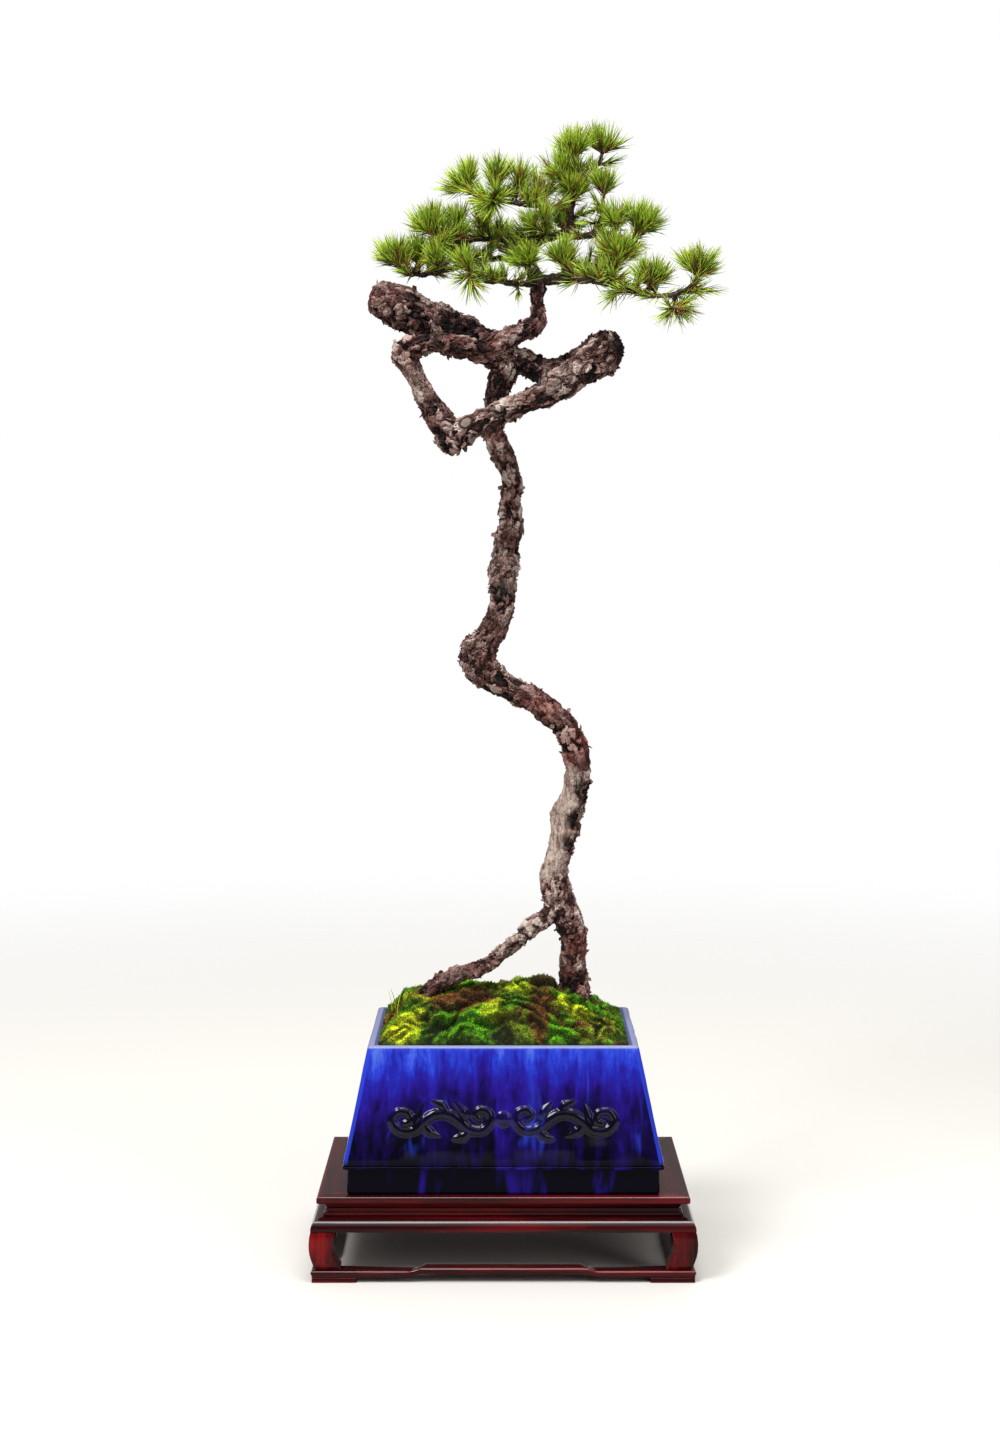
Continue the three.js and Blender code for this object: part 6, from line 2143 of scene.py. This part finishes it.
    def foot(self, sign_x: int, sign_y: int) -> Draft:
        """Returns a corner foot."""
        far_x, far_y = self.base_half_width - self.foot_inset, self.base_half_depth - self.foot_inset
        arm = self.base_rail_width - self.foot_inset
        end_x, end_y = far_x - self.foot_length, far_y - self.foot_length
        inner_x, inner_y = far_x - arm, far_y - arm
        corners = [(far_x, far_y), (end_x, far_y), (end_x, inner_y), (inner_x, inner_y), (inner_x, end_y),
                   (far_x, end_y)]
        outline = self.softened(corners, self.foot_softening, 4)
        middle = np.array([far_x - arm / 2, far_y - arm / 2])
        rings = []
        for z, inset in ((0, 0.0), (self.foot_height - 0.6, 0.0), (self.foot_height, 0.5)):
            shrunk = outline + np.sign(middle - outline) * inset
            rings.append(self.corner_ring(shrunk, z, sign_x, sign_y))
        return loft(np.array(rings))

    def panel(self) -> Draft:
        """Returns the panel in the middle of the top, with its tongue."""
        width = self.top_half_width - self.frame_width - GAP
        depth = self.top_half_depth - self.frame_width - GAP
        tongue, low, high = self.tongue - GAP, self.tongue_bottom + GAP, self.tongue_top - GAP
        sections = [(0, self.frame_underside + 0.5), (0, low), (tongue, low), (tongue, high), (0, high),
                    (0, self.height - 0.4), (-0.4, self.height)]
        signs = np.array([(-1, -1), (1, -1), (1, 1), (-1, 1)])
        rings = [np.column_stack([signs * (width + out, depth + out), np.full(4, z)]) for out, z in sections]
        return loft(np.array(rings))

    def build(self) -> None:
        """Adds every piece of the stand."""
        finishes = {grain: RosewoodFinish(grain).material() for grain in Grain}
        # Painted light: the legs get a brighter red copy of the upright finish, standing in for the glow of
        # light on their bulging faces.
        painted_glow_legs = RosewoodFinish(Grain.UPRIGHT, middle=colour(78, 6, 10), light=colour(144, 15, 18))
        finishes[Grain.UPRIGHT] = painted_glow_legs.material()
        waist = (self.waist_half_width, self.waist_half_depth)
        base = (self.base_half_width, self.base_half_depth)
        self.add_rails("top_rail", self.top_half_width, self.top_half_depth, self.top_profile(), finishes)
        self.add_rails("waist", *waist, self.waist_profile(), finishes)
        self.add_rails("apron", *waist, self.apron_profile(), finishes)
        self.add_rails("base_rail", *base, self.base_profile(), finishes, self.base_lifts())
        self.add("top_panel", self.panel(), finishes[Grain.ACROSS])
        for corner, *signs in self.CORNERS:
            self.add(f"leg_{corner}", self.leg(*signs), finishes[Grain.UPRIGHT])
            self.add(f"foot_{corner}", self.foot(*signs), finishes[Grain.ACROSS])


# The studio


@dataclass(frozen=True)
class SoftLight:
    """A soft lamp that faces a point on the tree."""

    name: str
    place: tuple[float, float, float]
    aim: tuple[float, float, float]
    width: float
    height: float
    power: float


@dataclass
class Studio:
    """The pale floor, the soft lights and the camera. Places are in metres."""

    floor_radius: float = 2.6
    floor_sides: int = 96
    fade_start: float = 0.5
    fade_end: float = 2.4
    camera_place: tuple = (-0.003, -1.9, 0.643)
    camera_pitch: float = 4.472
    focal_pixels: float = 2065
    image_height: int = 1443
    film: float = 36.0
    near_clip: float = 0.05
    room_light: float = 0.13
    ceiling_light: float = 1.2
    ceiling_range: tuple = (0.4, 0.95)
    wall_light: float = 0.06
    wall_range: tuple = (-0.1, 0.9)
    floor_tone: Colour = colour(206, 203, 197)
    speckle_tone: Colour = colour(192, 188, 181)

    LIGHTS = (
        SoftLight("key_light", (-1.5, -1.5, 2.6), (0, 0, 0.5), 1.0, 1.0, 84),
        SoftLight("top_light", (0.2, -0.6, 2.9), (0, 0, 0.3), 1.5, 1.0, 42),
        SoftLight("front_fill", (1.7, -1.7, 1.3), (0, 0, 0.5), 0.8, 1.6, 16),
        SoftLight("back_light", (0.6, 1.9, 1.9), (0, 0, 0.5), 1.6, 1.2, 7),
    )

    def build(self) -> None:
        """Adds everything round the object."""
        self.add_floor()
        self.add_sky()
        for light in self.LIGHTS:
            self.add_light(light)
        self.add_camera()
        bpy.context.scene.view_settings.view_transform = "Standard"

    def add_floor(self) -> None:
        """Adds a pale floor that fades out far from the object."""
        radius = self.floor_radius / MM
        ring = [(radius * cosine, radius * sine, 0) for cosine, sine in arc(0, 360, self.floor_sides + 1)]
        floor = Draft(np.array(ring[:-1]), [list(range(self.floor_sides))]).mesh("floor")
        floor = loose_object("floor", floor)
        paint = Paint("studio_floor")
        far = paint.node("ShaderNodeVectorMath", {"operation": "LENGTH"}, {"Vector": paint.place}, "Value")
        sockets = {
            "Base Color": paint.mix(paint.noise(7, 3) * 0.12, self.floor_tone, self.speckle_tone),
            "Roughness": 0.7,
            "Alpha": paint.rise(far, self.fade_start, self.fade_end, 1.0, 0.0),
        }
        floor.data.materials.append(paint.finish(sockets))

    def add_sky(self) -> None:
        """Adds surroundings that look white, and light the object from above and from behind."""
        world = bpy.data.worlds.new("white_studio")
        world.use_nodes = True
        nodes = Nodes(world.node_tree)
        seen = nodes.node("ShaderNodeLightPath", {}, {}, "Is Camera Ray")
        way = nodes.node("ShaderNodeTexCoord", {}, {}, "Generated")
        upward = nodes.node("ShaderNodeSeparateXYZ", {}, {"Vector": way}, "Z")
        overhead = nodes.rise(upward, *self.ceiling_range, 0.0, self.ceiling_light)
        behind = nodes.rise(upward.other("Y"), *self.wall_range, 0.0, self.wall_light)
        light = overhead + behind + self.room_light
        strength = seen * (1 - light) + light
        background = nodes.node("ShaderNodeBackground", {}, {"Color": (1, 1, 1, 1), "Strength": strength})
        nodes.node("ShaderNodeOutputWorld", {}, {"Surface": background})
        bpy.context.scene.world = world

    @staticmethod
    def add_light(light: SoftLight) -> None:
        """Adds one lamp."""
        data = bpy.data.lights.new(light.name, "AREA")
        data.shape = "RECTANGLE"
        data.size, data.size_y = light.width, light.height
        data.energy = light.power
        lamp = bpy.data.objects.new(light.name, data)
        lamp.location = light.place
        lamp.rotation_euler = (Vector(light.aim) - Vector(light.place)).to_track_quat("-Z", "Y").to_euler()
        bpy.context.scene.collection.objects.link(lamp)

    def add_camera(self) -> None:
        """Adds the camera at the photograph's viewing angle."""
        data = bpy.data.cameras.new("camera")
        data.sensor_width = self.film
        data.lens = self.focal_pixels / self.image_height * self.film
        data.clip_start = self.near_clip
        camera = bpy.data.objects.new("camera", data)
        camera.location = self.camera_place
        camera.rotation_euler = (math.radians(90 - self.camera_pitch), 0, 0)
        bpy.context.scene.collection.objects.link(camera)
        bpy.context.scene.camera = camera


def finish_node(node: bpy.types.Object, finish: Material) -> None:
    """Gives a node that stays its own finish."""
    node.data.materials.clear()
    node.data.materials.append(finish)


def main() -> None:
    """Builds the scene."""
    logging.basicConfig(level=logging.INFO, format="%(message)s")
    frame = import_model()
    Studio().build()
    Stand().build()
    Pot().build(GlazeFinish().material())
    finish_node(frame["nodes"]["soil"], SoilFinish().material())
    for side in ("left", "right"):
        finish_node(frame["nodes"][f"drain_screen_{side}"], ScreenFinish().material())
    Moss().build(MossFinish().material())
    twig = TwigFinish().material()
    Wood().build(BarkFinish().material(), twig)
    Foliage().build(NeedleFinish().material(), twig)


if __name__ == "__main__":
    main()
